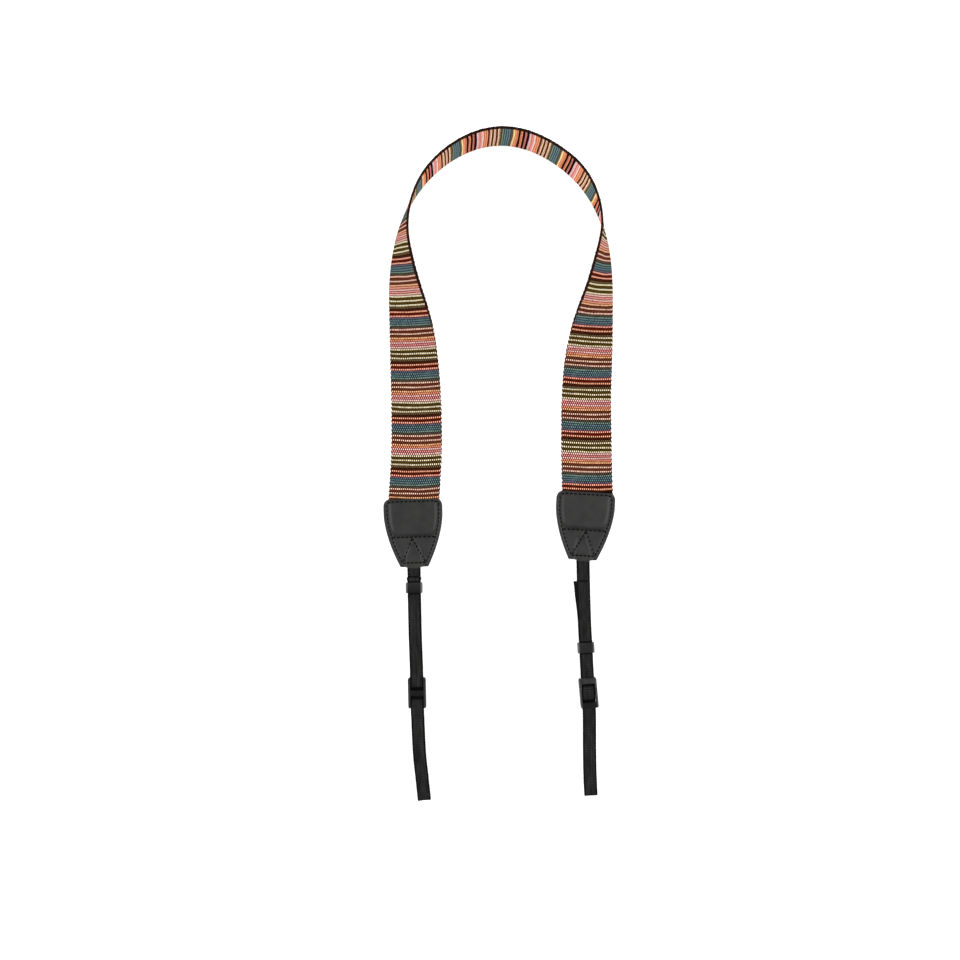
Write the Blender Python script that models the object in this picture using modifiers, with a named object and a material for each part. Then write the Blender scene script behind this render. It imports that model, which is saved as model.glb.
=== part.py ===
"""A camera neck strap, lying on a table.

A striped woven band stands on its edge round the arch and rolls flat down both legs. Each leg ends in a
leather tab of two panels. From each tab a narrow webbing runs through a keeper and a slide adjuster to a
pressed fold, where the camera's eyelet goes, and comes back through both to a free end.

Units are metres and +Z is up. The strap lies on z = 0 with the arch towards +Y. The origin is the middle
of its outline on the table.
"""

import bisect
import functools
import math
from collections import namedtuple

import bmesh
import bpy
from mathutils import Vector

MM = 0.001

# Gaps between pieces that touch on the real strap
CLEARANCE = 0.3 * MM
PLY_GAP = 0.3 * MM
SIDE_CLEARANCE = 0.3 * MM
TABLE_GAP = 0.05 * MM

# Woven neck band
BAND_WIDTH = 38.0 * MM
BAND_THICKNESS = 1.8 * MM
BAND_IN_TAB = 24.0 * MM

# The band's outer edge on the table: half an ellipse over the arch, then two nearly straight legs.
# Fullness swells the ellipse's quarters; slump moves that fullness from the crown towards the legs.
ARCH_HALF_SPAN = 82.9 * MM
ARCH_RISE = 114.8 * MM
LEFT_FULLNESS = 0.0135
RIGHT_FULLNESS = 0.0225
LEFT_SLUMP = 0.0184
RIGHT_SLUMP = 0.0298
LEFT_LEG = 149.0 * MM
RIGHT_LEG = 144.4 * MM
BAND_LIFT_RUN = 18.0 * MM

# Leather end tabs
TAB_WIDTH = 43.6 * MM
TAB_HEIGHT = 49.4 * MM
TAB_FOOT_WIDTH = 20.5 * MM
TAB_CORNER = 3.4 * MM
TAB_SHOULDER = 10.0 * MM
TAB_TAPER_POWER = 1.7
TAB_RIM = 2.8 * MM
LEATHER_THICKNESS = 1.2 * MM
LEFT_TAB_SHIFT = -0.8 * MM
RIGHT_TAB_SHIFT = -0.9 * MM
LEFT_TAB_YAW = 1.6
RIGHT_TAB_YAW = -3.2

# Narrow webbing
WEBBING_WIDTH = 9.8 * MM
WEBBING_THICKNESS = 1.0 * MM
WEBBING_IN_TAB = 20.0 * MM
LEFT_RUN = 173.2 * MM
RIGHT_RUN = 175.0 * MM
LEFT_FREE_END_AT = 7.7 * MM
RIGHT_FREE_END_AT = 15.9 * MM
LEFT_WEBBING_YAW = 1.4
RIGHT_WEBBING_YAW = 2.5
LEFT_FREE_END_FLARE = 0.0 * MM
RIGHT_FREE_END_FLARE = -1.8 * MM
FLARE_RUN = 32.0 * MM
WEBBING_RAMP = 9.0 * MM

# Keepers, the plain plastic loops that hold both plies together
KEEPER_LENGTH = 7.4 * MM
KEEPER_WALL = 1.0 * MM
KEEPER_ROUND = 0.5 * MM
LEFT_KEEPER_AT = 15.4 * MM
RIGHT_KEEPER_AT = 65.0 * MM

# Slide adjusters: two rails, a low bar at each end and a high bar in the middle
ADJUSTER_LENGTH = 21.8 * MM
ADJUSTER_RAIL = 1.1 * MM
ADJUSTER_END_BAR = 4.4 * MM
ADJUSTER_MIDDLE_BAR = 4.4 * MM
END_BAR_THICKNESS = 1.6 * MM
MIDDLE_BAR_THICKNESS = 1.4 * MM
ADJUSTER_CORNER = 1.0 * MM
LEFT_ADJUSTER_AT = 93.2 * MM
RIGHT_ADJUSTER_AT = 98.5 * MM

# How far the band has rolled from flat on the table (0) to standing on its outer edge (90), by share of
# the edge from the crown of the arch to the tab's mouth
Roll = namedtuple("Roll", "share left right")
BAND_ROLL = (
    Roll(0.00, 91.3, 91.3),
    Roll(0.12, 89.7, 91.6),
    Roll(0.22, 86.7, 91.5),
    Roll(0.30, 80.2, 86.4),
    Roll(0.36, 73.0, 79.5),
    Roll(0.44, 58.6, 64.7),
    Roll(0.52, 43.4, 50.1),
    Roll(0.60, 26.6, 31.2),
    Roll(0.68, 15.7, 16.4),
    Roll(0.78, 6.3, 8.0),
    Roll(0.88, 0.6, 2.0),
    Roll(1.00, 0.0, 0.0),
)

# How far a leg's outer edge strays inwards from a straight one, by share of the leg, as a share of the
# band's width
Stray = namedtuple("Stray", "share left right")
LEG_STRAY = (
    Stray(0.00, 0.0000, 0.0000),
    Stray(0.25, 0.0149, -0.0008),
    Stray(0.50, 0.0386, 0.0225),
    Stray(0.75, 0.0385, 0.0122),
    Stray(1.00, -0.0150, -0.0050),
)

# How far the webbing strays towards +X of its first heading, by share of its run, as a share of it
WEBBING_STRAY = (
    Stray(0.00, -0.0024, 0.0020),
    Stray(0.15, -0.0037, -0.0012),
    Stray(0.30, -0.0040, -0.0027),
    Stray(0.48, -0.0018, -0.0010),
    Stray(0.64, -0.0018, 0.0010),
    Stray(0.80, 0.0018, -0.0046),
    Stray(0.90, 0.0098, -0.0074),
    Stray(1.00, 0.0180, -0.0074),
)

# Both ends of the strap, which differ a little as they lie. main_on_top says which ply shows.
Side = namedtuple(
    "Side",
    "name sign fullness slump leg tab_shift tab_yaw webbing_yaw run free_end flare keeper_at"
    " adjuster_at main_on_top",
)
SIDES = (
    Side(
        "left", -1, LEFT_FULLNESS, LEFT_SLUMP, LEFT_LEG, LEFT_TAB_SHIFT, LEFT_TAB_YAW,
        LEFT_WEBBING_YAW, LEFT_RUN, LEFT_FREE_END_AT, LEFT_FREE_END_FLARE, LEFT_KEEPER_AT,
        LEFT_ADJUSTER_AT, False,
    ),
    Side(
        "right", 1, RIGHT_FULLNESS, RIGHT_SLUMP, RIGHT_LEG, RIGHT_TAB_SHIFT, RIGHT_TAB_YAW,
        RIGHT_WEBBING_YAW, RIGHT_RUN, RIGHT_FREE_END_AT, RIGHT_FREE_END_FLARE, RIGHT_KEEPER_AT,
        RIGHT_ADJUSTER_AT, True,
    ),
)

# Sizes that follow from the ones above
PLY_STEP = WEBBING_THICKNESS + PLY_GAP
STACK = WEBBING_THICKNESS + PLY_STEP
TAB_INSIDE = LEATHER_THICKNESS + CLEARANCE
BAND_POCKET = BAND_THICKNESS + CLEARANCE
WEBBING_POCKET = WEBBING_THICKNESS + CLEARANCE
POCKET_SLOPE = TAB_RIM - CLEARANCE
POCKET_MARGIN = 3 * CLEARANCE
KEEPER_INSIDE = KEEPER_WALL + CLEARANCE
ADJUSTER_HEIGHT = END_BAR_THICKNESS + STACK + 2 * CLEARANCE
STACK_OVER_END_BAR = END_BAR_THICKNESS + CLEARANCE
STACK_UNDER_MIDDLE_BAR = ADJUSTER_HEIGHT - MIDDLE_BAR_THICKNESS - CLEARANCE - STACK
HARDWARE_INSIDE_WIDTH = WEBBING_WIDTH + 2 * SIDE_CLEARANCE

# Fineness of the meshes
EDGE_SAMPLES = 240
BAND_STATIONS = 56
BAND_STATIONS_IN_TAB = 8
WEBBING_STEP = 2.0 * MM
FOLD_STEPS = 6
TAB_ROWS = 22
TAB_CORNER_ROWS = 4
TAB_COLUMNS = 20

SHARP_ANGLE = math.radians(35)

UP = Vector((0, 0, 1))


# Curves and tables


def smoothstep(t):
    t = max(0.0, min(1.0, t))
    return t * t * (3 - 2 * t)


def read_table(rows, column, share):
    """A column's value at a share, on a smooth curve through the table's rows."""
    at = [row.share for row in rows]
    value = [getattr(row, column) for row in rows]
    last = len(rows) - 1
    i = max(0, min(last - 1, bisect.bisect_right(at, share) - 1))
    span = at[i + 1] - at[i]
    t = max(0.0, min(1.0, (share - at[i]) / span))

    def slope(k):
        before, after = max(0, k - 1), min(last, k + 1)
        return (value[after] - value[before]) / (at[after] - at[before])

    return (
        value[i] * (2 * t**3 - 3 * t**2 + 1)
        + slope(i) * span * (t**3 - 2 * t**2 + t)
        + value[i + 1] * (3 * t**2 - 2 * t**3)
        + slope(i + 1) * span * (t**3 - t**2)
    )


class Line:
    """A polyline that can be read by distance along it."""

    def __init__(self, points):
        self.points = points
        self.lengths = [0.0]
        for a, b in zip(points, points[1:]):
            self.lengths.append(self.lengths[-1] + (b - a).length)
        self.length = self.lengths[-1]

    def segment(self, distance):
        i = bisect.bisect_right(self.lengths, distance) - 1
        return max(0, min(len(self.points) - 2, i))

    def at(self, distance):
        i = self.segment(distance)
        span = self.lengths[i + 1] - self.lengths[i]
        return self.points[i].lerp(self.points[i + 1], (distance - self.lengths[i]) / span)

    def heading(self, distance):
        i = self.segment(distance)
        return (self.points[i + 1] - self.points[i]).normalized()


def heading_of(yaw):
    """The way down the strap at a yaw in degrees: 0 is -Y, and positive yaws swing it towards +X."""
    angle = math.radians(yaw)
    return Vector((math.sin(angle), -math.cos(angle), 0))


def across_of(heading):
    """The horizontal direction at right angles to a way down the strap, on its +X side."""
    return Vector((-heading.y, heading.x, 0))


# The route of the neck band


@functools.cache
def outer_edge(side):
    """The band's outer edge on the table, from the crown of the arch down to the tab's mouth."""
    points = []
    for i in range(EDGE_SAMPLES + 1):
        angle = math.pi / 2 * i / EDGE_SAMPLES
        quarter = math.sin(2 * angle) ** 2
        scale = 1 + side.fullness * quarter - side.slump * quarter * math.cos(2 * angle)
        out, up = ARCH_HALF_SPAN * math.sin(angle), ARCH_RISE * math.cos(angle)
        points.append(Vector((side.sign * out, up, 0)) * scale)
    for i in range(1, EDGE_SAMPLES + 1):
        share = i / EDGE_SAMPLES
        out = ARCH_HALF_SPAN - BAND_WIDTH * read_table(LEG_STRAY, side.name, share)
        points.append(Vector((side.sign * out, -side.leg * share, 0)))
    return Line(points)


def inward_of(side, heading):
    """The horizontal direction from the band's outer edge towards the wearer."""
    return Vector((heading.y, -heading.x, 0)) * side.sign


def band_end_of(side):
    """The middle of the band where it enters the tab, on the table."""
    return outer_edge(side).points[-1] + inward_of(side, heading_of(side.tab_yaw)) * BAND_WIDTH / 2


@functools.cache
def mouth_of(side):
    """The middle of the tab's mouth, on the table."""
    return band_end_of(side) + across_of(heading_of(side.tab_yaw)) * side.tab_shift


@functools.cache
def foot_of(side):
    """The middle of the tab's foot, where the webbing leaves it, on the table."""
    return mouth_of(side) + heading_of(side.tab_yaw) * TAB_HEIGHT


def equal_shares(points, count):
    line = Line(points)
    return [line.at(line.length * i / count) for i in range(count + 1)]


def band_half(side):
    """One half of the band as (outer edge, inner edge) pairs, from the crown to its end in the tab.

    Both edges are woven to the same length, so a weft joins equal shares of the two.
    """
    edge = outer_edge(side)
    outer, inner = [], []
    for i in range(EDGE_SAMPLES + 1):
        distance = edge.length * i / EDGE_SAMPLES
        roll = math.radians(read_table(BAND_ROLL, side.name, i / EDGE_SAMPLES))
        into_tab = smoothstep(1 - (edge.length - distance) / BAND_LIFT_RUN)
        lift = TABLE_GAP + (TAB_INSIDE - TABLE_GAP) * into_tab
        inward = inward_of(side, edge.heading(distance))
        low = edge.at(distance) + UP * (BAND_THICKNESS / 2 * abs(math.cos(roll)) + lift)
        outer.append(low)
        inner.append(low + (inward * math.cos(roll) + UP * math.sin(roll)) * BAND_WIDTH)
    pairs = list(zip(equal_shares(outer, BAND_STATIONS), equal_shares(inner, BAND_STATIONS)))
    down = heading_of(side.tab_yaw)
    across = across_of(down)
    middle = mouth_of(side) + UP * (TAB_INSIDE + BAND_THICKNESS / 2)
    for i in range(1, BAND_STATIONS_IN_TAB + 1):
        depth = BAND_IN_TAB * i / BAND_STATIONS_IN_TAB
        edges = [middle + down * depth + across * at for at in band_edges_in_tab(side, depth)]
        pairs.append(tuple(edges[:: -side.sign]))
    return pairs


# The leather tabs


def tab_half_width(depth):
    """Half the tab's width at a depth below its mouth, its mouth's corners left square."""
    past = max(0.0, depth - TAB_SHOULDER) / (TAB_HEIGHT - TAB_SHOULDER)
    return TAB_WIDTH / 2 - (TAB_WIDTH - TAB_FOOT_WIDTH) / 2 * past**TAB_TAPER_POWER


def tab_outline(depth):
    """Half the tab's width at a depth below its mouth, with the mouth's corners rounded."""
    up_corner = max(0.0, TAB_CORNER - depth)
    return tab_half_width(depth) - TAB_CORNER + math.sqrt(TAB_CORNER**2 - up_corner**2)


def band_edges_in_tab(side, depth):
    """Where the band's edges lie across the tab, trimmed below the mouth to stay inside its seam."""
    inside_seam = tab_half_width(depth) - TAB_RIM * smoothstep(depth / TAB_CORNER)
    low, high = -side.tab_shift - BAND_WIDTH / 2, -side.tab_shift + BAND_WIDTH / 2
    return max(low, -inside_seam), min(high, inside_seam)


def front_panel_relief(side, across, depth):
    """How far the front panel's underside stands off the seam, to clear the band and the webbing."""
    low, high = band_edges_in_tab(side, depth)
    outside_band = max(low - across, across - high) - CLEARANCE
    below_band = depth - BAND_IN_TAB - POCKET_MARGIN
    over_band = BAND_POCKET * smoothstep(1 - outside_band / POCKET_SLOPE)
    over_band *= smoothstep(1 - below_band / POCKET_SLOPE)
    from_foot = TAB_HEIGHT - depth
    webbing_middle = read_table(WEBBING_STRAY, side.name, 0.0) * side.run
    webbing_middle -= from_foot * math.tan(math.radians(side.webbing_yaw - side.tab_yaw))
    outside_webbing = abs(across - webbing_middle) - WEBBING_WIDTH / 2 - POCKET_MARGIN
    above_webbing = from_foot - WEBBING_IN_TAB - POCKET_MARGIN
    over_webbing = WEBBING_POCKET * smoothstep(1 - outside_webbing / POCKET_SLOPE)
    over_webbing *= smoothstep(1 - above_webbing / POCKET_SLOPE)
    return max(over_band, over_webbing)


def tab_depths():
    """Depths of the panel's rows: close together round the mouth's corners, then even."""
    corner = [
        TAB_CORNER * (1 - math.cos(math.pi / 2 * i / TAB_CORNER_ROWS))
        for i in range(TAB_CORNER_ROWS + 1)
    ]
    rest = TAB_HEIGHT - TAB_CORNER
    return corner + [TAB_CORNER + rest * i / TAB_ROWS for i in range(1, TAB_ROWS + 1)]


def tab_columns(depth):
    """Even across positions of a row of the panel."""
    return [tab_outline(depth) * (2 * i / TAB_COLUMNS - 1) for i in range(TAB_COLUMNS + 1)]


# The narrow webbing


def webbing_middle(side, distance):
    """The webbing's middle on the table, at a distance below the tab's foot."""
    heading = heading_of(side.webbing_yaw)
    strayed = read_table(WEBBING_STRAY, side.name, distance / side.run) * side.run
    return foot_of(side) + heading * distance + across_of(heading) * strayed


def webbing_heading(side, distance):
    step = WEBBING_STEP / 2
    return (webbing_middle(side, distance + step) - webbing_middle(side, distance - step)).normalized()


def held(distance, middle, half_length):
    """1 beside a piece of hardware, falling to 0 over a ramp on both sides of it."""
    return smoothstep(1 - (abs(distance - middle) - half_length) / WEBBING_RAMP)


def stack_in_adjuster(side, distance):
    """The underside of the webbing's plies inside an adjuster: over its end bars and under its middle
    one, or the other way round where the adjuster lies face down."""
    over_ends, at_middle = STACK_OVER_END_BAR, STACK_UNDER_MIDDLE_BAR
    if side.main_on_top:
        over_ends, at_middle = (ADJUSTER_HEIGHT - STACK - height for height in (over_ends, at_middle))
    from_middle = abs(distance - side.adjuster_at) - ADJUSTER_MIDDLE_BAR / 2
    slot = ADJUSTER_LENGTH / 2 - ADJUSTER_END_BAR - ADJUSTER_MIDDLE_BAR / 2
    return at_middle + (over_ends - at_middle) * smoothstep(from_middle / slot)


def stack_height(side, distance):
    """The height of the lower ply's underside, at a distance below the tab's foot."""
    leaving_tab = TAB_INSIDE - (PLY_STEP if side.main_on_top else 0)
    return max(
        leaving_tab * smoothstep(1 - distance / WEBBING_RAMP),
        KEEPER_INSIDE * held(distance, side.keeper_at, KEEPER_LENGTH / 2),
        stack_in_adjuster(side, distance) * held(distance, side.adjuster_at, ADJUSTER_LENGTH / 2),
    )


def webbing_ruling(side, distance, height, strayed=0.0):
    heading = webbing_heading(side, distance)
    across = across_of(heading)
    middle = webbing_middle(side, distance) + UP * height + across * strayed
    return middle - across * WEBBING_WIDTH / 2, middle + across * WEBBING_WIDTH / 2


def webbing_rulings(side):
    """The webbing from its end in the tab, down to the fold, and back to its free end."""
    main_lift = WEBBING_THICKNESS / 2 + (PLY_STEP if side.main_on_top else 0)
    back_lift = WEBBING_THICKNESS / 2 + (0 if side.main_on_top else PLY_STEP)
    fold_radius = PLY_STEP / 2
    fold_at = side.run - fold_radius - WEBBING_THICKNESS / 2
    start = -WEBBING_IN_TAB
    steps = round((fold_at - start) / WEBBING_STEP)
    down = [start + (fold_at - start) * i / steps for i in range(steps + 1)]
    rulings = [webbing_ruling(side, d, stack_height(side, d) + main_lift) for d in down]
    for i in range(1, FOLD_STEPS):
        angle = math.pi * i / FOLD_STEPS
        height = (main_lift + back_lift) / 2 + (main_lift - back_lift) / 2 * math.cos(angle)
        rulings.append(webbing_ruling(side, fold_at + fold_radius * math.sin(angle), height))
    steps = round((fold_at - side.free_end) / WEBBING_STEP)
    for i in range(steps + 1):
        distance = fold_at + (side.free_end - fold_at) * i / steps
        strayed = side.flare * smoothstep(1 - (distance - side.free_end) / FLARE_RUN)
        rulings.append(webbing_ruling(side, distance, stack_height(side, distance) + back_lift, strayed))
    return rulings


# Making objects


def new_material(name, colour, roughness, metallic=0.0):
    material = bpy.data.materials.new(name)
    material.use_nodes = True
    shader = material.node_tree.nodes["Principled BSDF"]
    shader.inputs["Base Color"].default_value = (*colour, 1.0)
    shader.inputs["Roughness"].default_value = roughness
    shader.inputs["Metallic"].default_value = metallic
    return material


def new_object(name, mesh_data, collection, material, parent):
    obj = bpy.data.objects.new(name, mesh_data)
    collection.objects.link(obj)
    obj.parent = parent
    mesh_data.materials.append(material)
    return obj


def mesh_from(name, shape):
    mesh_data = bpy.data.meshes.new(name)
    shape.to_mesh(mesh_data)
    shape.free()
    mesh_data.shade_smooth()
    mesh_data.set_sharp_from_angle(angle=SHARP_ANGLE)
    return mesh_data


def add_thickness(obj, thickness, offset):
    modifier = obj.modifiers.new("thickness", "SOLIDIFY")
    modifier.thickness = thickness
    modifier.offset = offset


def ribbon_mesh(name, rulings):
    """A strap's middle surface: the chains of points along it, bridged side by side."""
    shape = bmesh.new()
    chains = []
    for points in zip(*rulings):
        corners = [shape.verts.new(point) for point in points]
        chains.append([shape.edges.new(pair) for pair in zip(corners, corners[1:])])
    for first, second in zip(chains, chains[1:]):
        bmesh.ops.bridge_loops(shape, edges=first + second)
    bmesh.ops.recalc_face_normals(shape, faces=shape.faces)
    return mesh_from(name, shape)


def panel_mesh(name, underside):
    """A leather panel in the tab's own frame: a grid drawn out to the tab's outline and thickened."""
    depths = tab_depths()
    rows = [tab_columns(depth) for depth in depths]
    shape = bmesh.new()
    bmesh.ops.create_grid(shape, x_segments=len(rows[0]) - 1, y_segments=len(depths) - 1, size=0.5)
    for corner in shape.verts:
        row = round((0.5 - corner.co.y) * (len(depths) - 1))
        column = round((corner.co.x + 0.5) * (len(rows[0]) - 1))
        across, depth = rows[row][column], depths[row]
        corner.co = (across, -depth, underside(across, depth))
    raised = bmesh.ops.extrude_face_region(shape, geom=shape.faces[:])["geom"]
    corners = [part for part in raised if isinstance(part, bmesh.types.BMVert)]
    bmesh.ops.translate(shape, vec=UP * LEATHER_THICKNESS, verts=corners)
    bmesh.ops.recalc_face_normals(shape, faces=shape.faces)
    return mesh_from(name, shape)


def box(shape, size, middle):
    """A box added to a bmesh, by its size and its middle. Returns its corners."""
    corners = bmesh.ops.create_cube(shape, size=1.0)["verts"]
    bmesh.ops.scale(shape, vec=size, verts=corners)
    bmesh.ops.translate(shape, vec=middle, verts=corners)
    return corners


def rounded_box_mesh(name, size, middle, along, radius, segments):
    """A box whose edges along one axis are rounded."""
    shape = bmesh.new()
    box(shape, size, middle)
    edges = [
        edge for edge in shape.edges
        if abs((edge.verts[1].co - edge.verts[0].co).normalized()[along]) > 0.9
    ]
    bmesh.ops.bevel(
        shape, geom=edges, affect="EDGES", offset=radius, segments=segments, profile=0.5, material=-1
    )
    return mesh_from(name, shape)


def box_mesh(name, size, middle):
    shape = bmesh.new()
    box(shape, size, middle)
    return mesh_from(name, shape)


def combine(obj, name, other_mesh, operation, cutters):
    """Joins a mesh to an object or cuts it away, with the other mesh kept as a hidden helper."""
    helper = bpy.data.objects.new(name, other_mesh)
    cutters.objects.link(helper)
    helper.parent = obj
    helper.hide_render = True
    helper.display_type = "WIRE"
    modifier = obj.modifiers.new(name, "BOOLEAN")
    modifier.operation = operation
    modifier.object = helper


# The pieces


def make_band(collection, materials, parent):
    left, right = (band_half(side) for side in SIDES)
    pairs = left[::-1] + right[1:]
    rulings = [(outer, outer.lerp(inner, 0.5), inner) for outer, inner in pairs]
    band = new_object(
        "neck_band", ribbon_mesh("neck_band", rulings), collection, materials["band"], parent
    )
    add_thickness(band, BAND_THICKNESS, 0.0)


def make_tab(side, collection, materials, parent):
    frame = bpy.data.objects.new(f"{side.name}_tab", None)
    collection.objects.link(frame)
    frame.parent = parent
    frame.location = mouth_of(side)
    frame.rotation_euler.z = math.radians(side.tab_yaw)

    undersides = {
        "back": lambda across, depth: 0.0,
        "front": lambda across, depth: TAB_INSIDE + front_panel_relief(side, across, depth),
    }
    for panel, underside in undersides.items():
        name = f"{side.name}_tab_{panel}"
        new_object(name, panel_mesh(name, underside), collection, materials["leather"], frame)


def make_webbing(side, collection, materials, parent):
    name = f"{side.name}_webbing"
    webbing = new_object(
        name, ribbon_mesh(name, webbing_rulings(side)), collection, materials["webbing"], parent
    )
    add_thickness(webbing, WEBBING_THICKNESS, 0.0)


def make_keeper(side, collection, cutters, materials, parent):
    name = f"{side.name}_keeper"
    inside = Vector((HARDWARE_INSIDE_WIDTH, KEEPER_LENGTH * 2, STACK + 2 * CLEARANCE))
    outside = Vector((inside.x + 2 * KEEPER_WALL, KEEPER_LENGTH, inside.z + 2 * KEEPER_WALL))
    middle = Vector((0, 0, outside.z / 2))
    keeper = new_object(
        name, rounded_box_mesh(name, outside, middle, 1, KEEPER_ROUND, 2), collection,
        materials["plastic"], parent,
    )
    combine(keeper, f"{name}_hole", box_mesh(f"{name}_hole", inside, middle), "DIFFERENCE", cutters)
    keeper.location = webbing_middle(side, side.keeper_at)
    keeper.rotation_euler.z = yaw_at(side, side.keeper_at)


def yaw_at(side, distance):
    heading = webbing_heading(side, distance)
    return math.atan2(heading.x, -heading.y)


def make_adjuster(side, collection, cutters, materials, parent):
    name = f"{side.name}_adjuster"
    width = HARDWARE_INSIDE_WIDTH + 2 * ADJUSTER_RAIL
    window = ADJUSTER_LENGTH - 2 * ADJUSTER_END_BAR
    over = ADJUSTER_HEIGHT
    adjuster = new_object(
        name,
        rounded_box_mesh(
            name, Vector((width, ADJUSTER_LENGTH, ADJUSTER_HEIGHT)), Vector((0, 0, ADJUSTER_HEIGHT / 2)),
            2, ADJUSTER_CORNER, 3,
        ),
        collection, materials["plastic"], parent,
    )
    channel = box_mesh(
        f"{name}_channel",
        Vector((HARDWARE_INSIDE_WIDTH, ADJUSTER_LENGTH + 2 * over, ADJUSTER_HEIGHT)),
        Vector((0, 0, END_BAR_THICKNESS + ADJUSTER_HEIGHT / 2)),
    )
    combine(adjuster, f"{name}_channel", channel, "DIFFERENCE", cutters)
    opening = box_mesh(
        f"{name}_window",
        Vector((HARDWARE_INSIDE_WIDTH, window, ADJUSTER_HEIGHT + 2 * over)),
        Vector((0, 0, ADJUSTER_HEIGHT / 2)),
    )
    combine(adjuster, f"{name}_window", opening, "DIFFERENCE", cutters)
    bar = box_mesh(
        f"{name}_bar",
        Vector((HARDWARE_INSIDE_WIDTH + ADJUSTER_RAIL, ADJUSTER_MIDDLE_BAR, MIDDLE_BAR_THICKNESS)),
        Vector((0, 0, ADJUSTER_HEIGHT - MIDDLE_BAR_THICKNESS / 2)),
    )
    combine(adjuster, f"{name}_bar", bar, "UNION", cutters)
    adjuster.location = webbing_middle(side, side.adjuster_at)
    adjuster.rotation_euler.z = yaw_at(side, side.adjuster_at)
    if side.main_on_top:
        adjuster.location.z = ADJUSTER_HEIGHT
        adjuster.rotation_euler.y = math.pi


def centre_on_table(root, collection):
    """Moves the whole strap so that the middle of its outline is the origin."""
    bpy.context.view_layer.update()
    graph = bpy.context.evaluated_depsgraph_get()
    corners = []
    for obj in collection.objects:
        if obj.type == "MESH":
            evaluated = obj.evaluated_get(graph)
            corners += [evaluated.matrix_world @ Vector(v.co) for v in evaluated.data.vertices]
    for axis in (0, 1):
        values = [corner[axis] for corner in corners]
        root.location[axis] = -(min(values) + max(values)) / 2


def main():
    for obj in list(bpy.data.objects):
        bpy.data.objects.remove(obj)
    collection = bpy.data.collections.new("camera_neck_strap")
    cutters = bpy.data.collections.new("cutters")
    for made in (collection, cutters):
        bpy.context.scene.collection.children.link(made)
    materials = {
        "band": new_material("woven_band", (0.30, 0.13, 0.09), 0.85),
        "leather": new_material("black_leather", (0.035, 0.034, 0.036), 0.45),
        "webbing": new_material("black_webbing", (0.018, 0.018, 0.018), 0.75),
        "plastic": new_material("black_plastic", (0.03, 0.03, 0.032), 0.35),
    }
    root = bpy.data.objects.new("strap", None)
    collection.objects.link(root)
    make_band(collection, materials, root)
    for side in SIDES:
        make_tab(side, collection, materials, root)
        make_webbing(side, collection, materials, root)
        make_keeper(side, collection, cutters, materials, root)
        make_adjuster(side, collection, cutters, materials, root)
    centre_on_table(root, collection)


main()
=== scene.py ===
# %% [markdown]
# # A camera neck strap
# A striped woven band lies on a table in an open arch. It stands on its edge round the arch and rolls flat
# down both legs, and each leg ends in a leather tab with a narrow black webbing.
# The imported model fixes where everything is. This script dresses it: it makes a detailed piece for each plain
# solid, on the same route, and gives each piece its material.

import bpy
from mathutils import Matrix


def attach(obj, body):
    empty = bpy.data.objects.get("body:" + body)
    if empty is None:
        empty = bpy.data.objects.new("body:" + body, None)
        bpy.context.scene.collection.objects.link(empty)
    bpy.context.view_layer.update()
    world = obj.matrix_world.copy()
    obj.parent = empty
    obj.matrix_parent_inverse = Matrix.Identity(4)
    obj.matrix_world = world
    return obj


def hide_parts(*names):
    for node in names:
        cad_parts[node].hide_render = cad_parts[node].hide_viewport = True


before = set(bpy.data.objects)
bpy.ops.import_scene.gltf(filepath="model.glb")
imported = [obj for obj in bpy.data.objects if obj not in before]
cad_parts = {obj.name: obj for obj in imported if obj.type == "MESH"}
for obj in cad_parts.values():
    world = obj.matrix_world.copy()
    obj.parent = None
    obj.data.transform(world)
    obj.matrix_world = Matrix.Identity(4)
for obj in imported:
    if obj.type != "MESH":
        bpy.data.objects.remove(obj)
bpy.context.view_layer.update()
print("solids", sorted(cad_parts))

# %% What the script uses
import bisect
import functools
import math
from collections import namedtuple

import bmesh
import bpy
import numpy as np
from mathutils import Matrix, Vector, noise

MM = 0.001
UP = Vector((0, 0, 1))
WHOLE_STRAP_AT = Vector((1.088, 127.401, 0)) * MM

# %% [markdown]
# ## The sizes
# A piece that replaces a solid must lie just where the solid lies. So the script repeats the strap's named
# sizes and the short tables that bend its route, and works the same curves out from them.

# %% Sizes of the strap
CLEARANCE = 0.3 * MM
PLY_GAP = 0.3 * MM
SIDE_CLEARANCE = 0.3 * MM
TABLE_GAP = 0.05 * MM

BAND_WIDTH = 38.0 * MM
BAND_THICKNESS = 1.8 * MM
BAND_IN_TAB = 24.0 * MM
ARCH_HALF_SPAN = 82.9 * MM
ARCH_RISE = 114.8 * MM
BAND_LIFT_RUN = 18.0 * MM

TAB_WIDTH = 43.6 * MM
TAB_HEIGHT = 49.4 * MM
TAB_FOOT_WIDTH = 20.5 * MM
TAB_CORNER = 4.6 * MM
TAB_SHOULDER = 10.0 * MM
TAB_TAPER_POWER = 1.7
LEATHER_THICKNESS = 1.2 * MM

WEBBING_WIDTH = 9.8 * MM
WEBBING_THICKNESS = 1.0 * MM
WEBBING_IN_TAB = 9.0 * MM
FLARE_RUN = 32.0 * MM
WEBBING_RAMP = 9.0 * MM

KEEPER_LENGTH = 7.4 * MM
KEEPER_WALL = 1.0 * MM
ADJUSTER_LENGTH = 22.4 * MM
ADJUSTER_RAIL = 1.1 * MM
ADJUSTER_END_BAR = 4.4 * MM
ADJUSTER_MIDDLE_BAR = 4.4 * MM
END_BAR_THICKNESS = 1.6 * MM
MIDDLE_BAR_THICKNESS = 1.4 * MM

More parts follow.
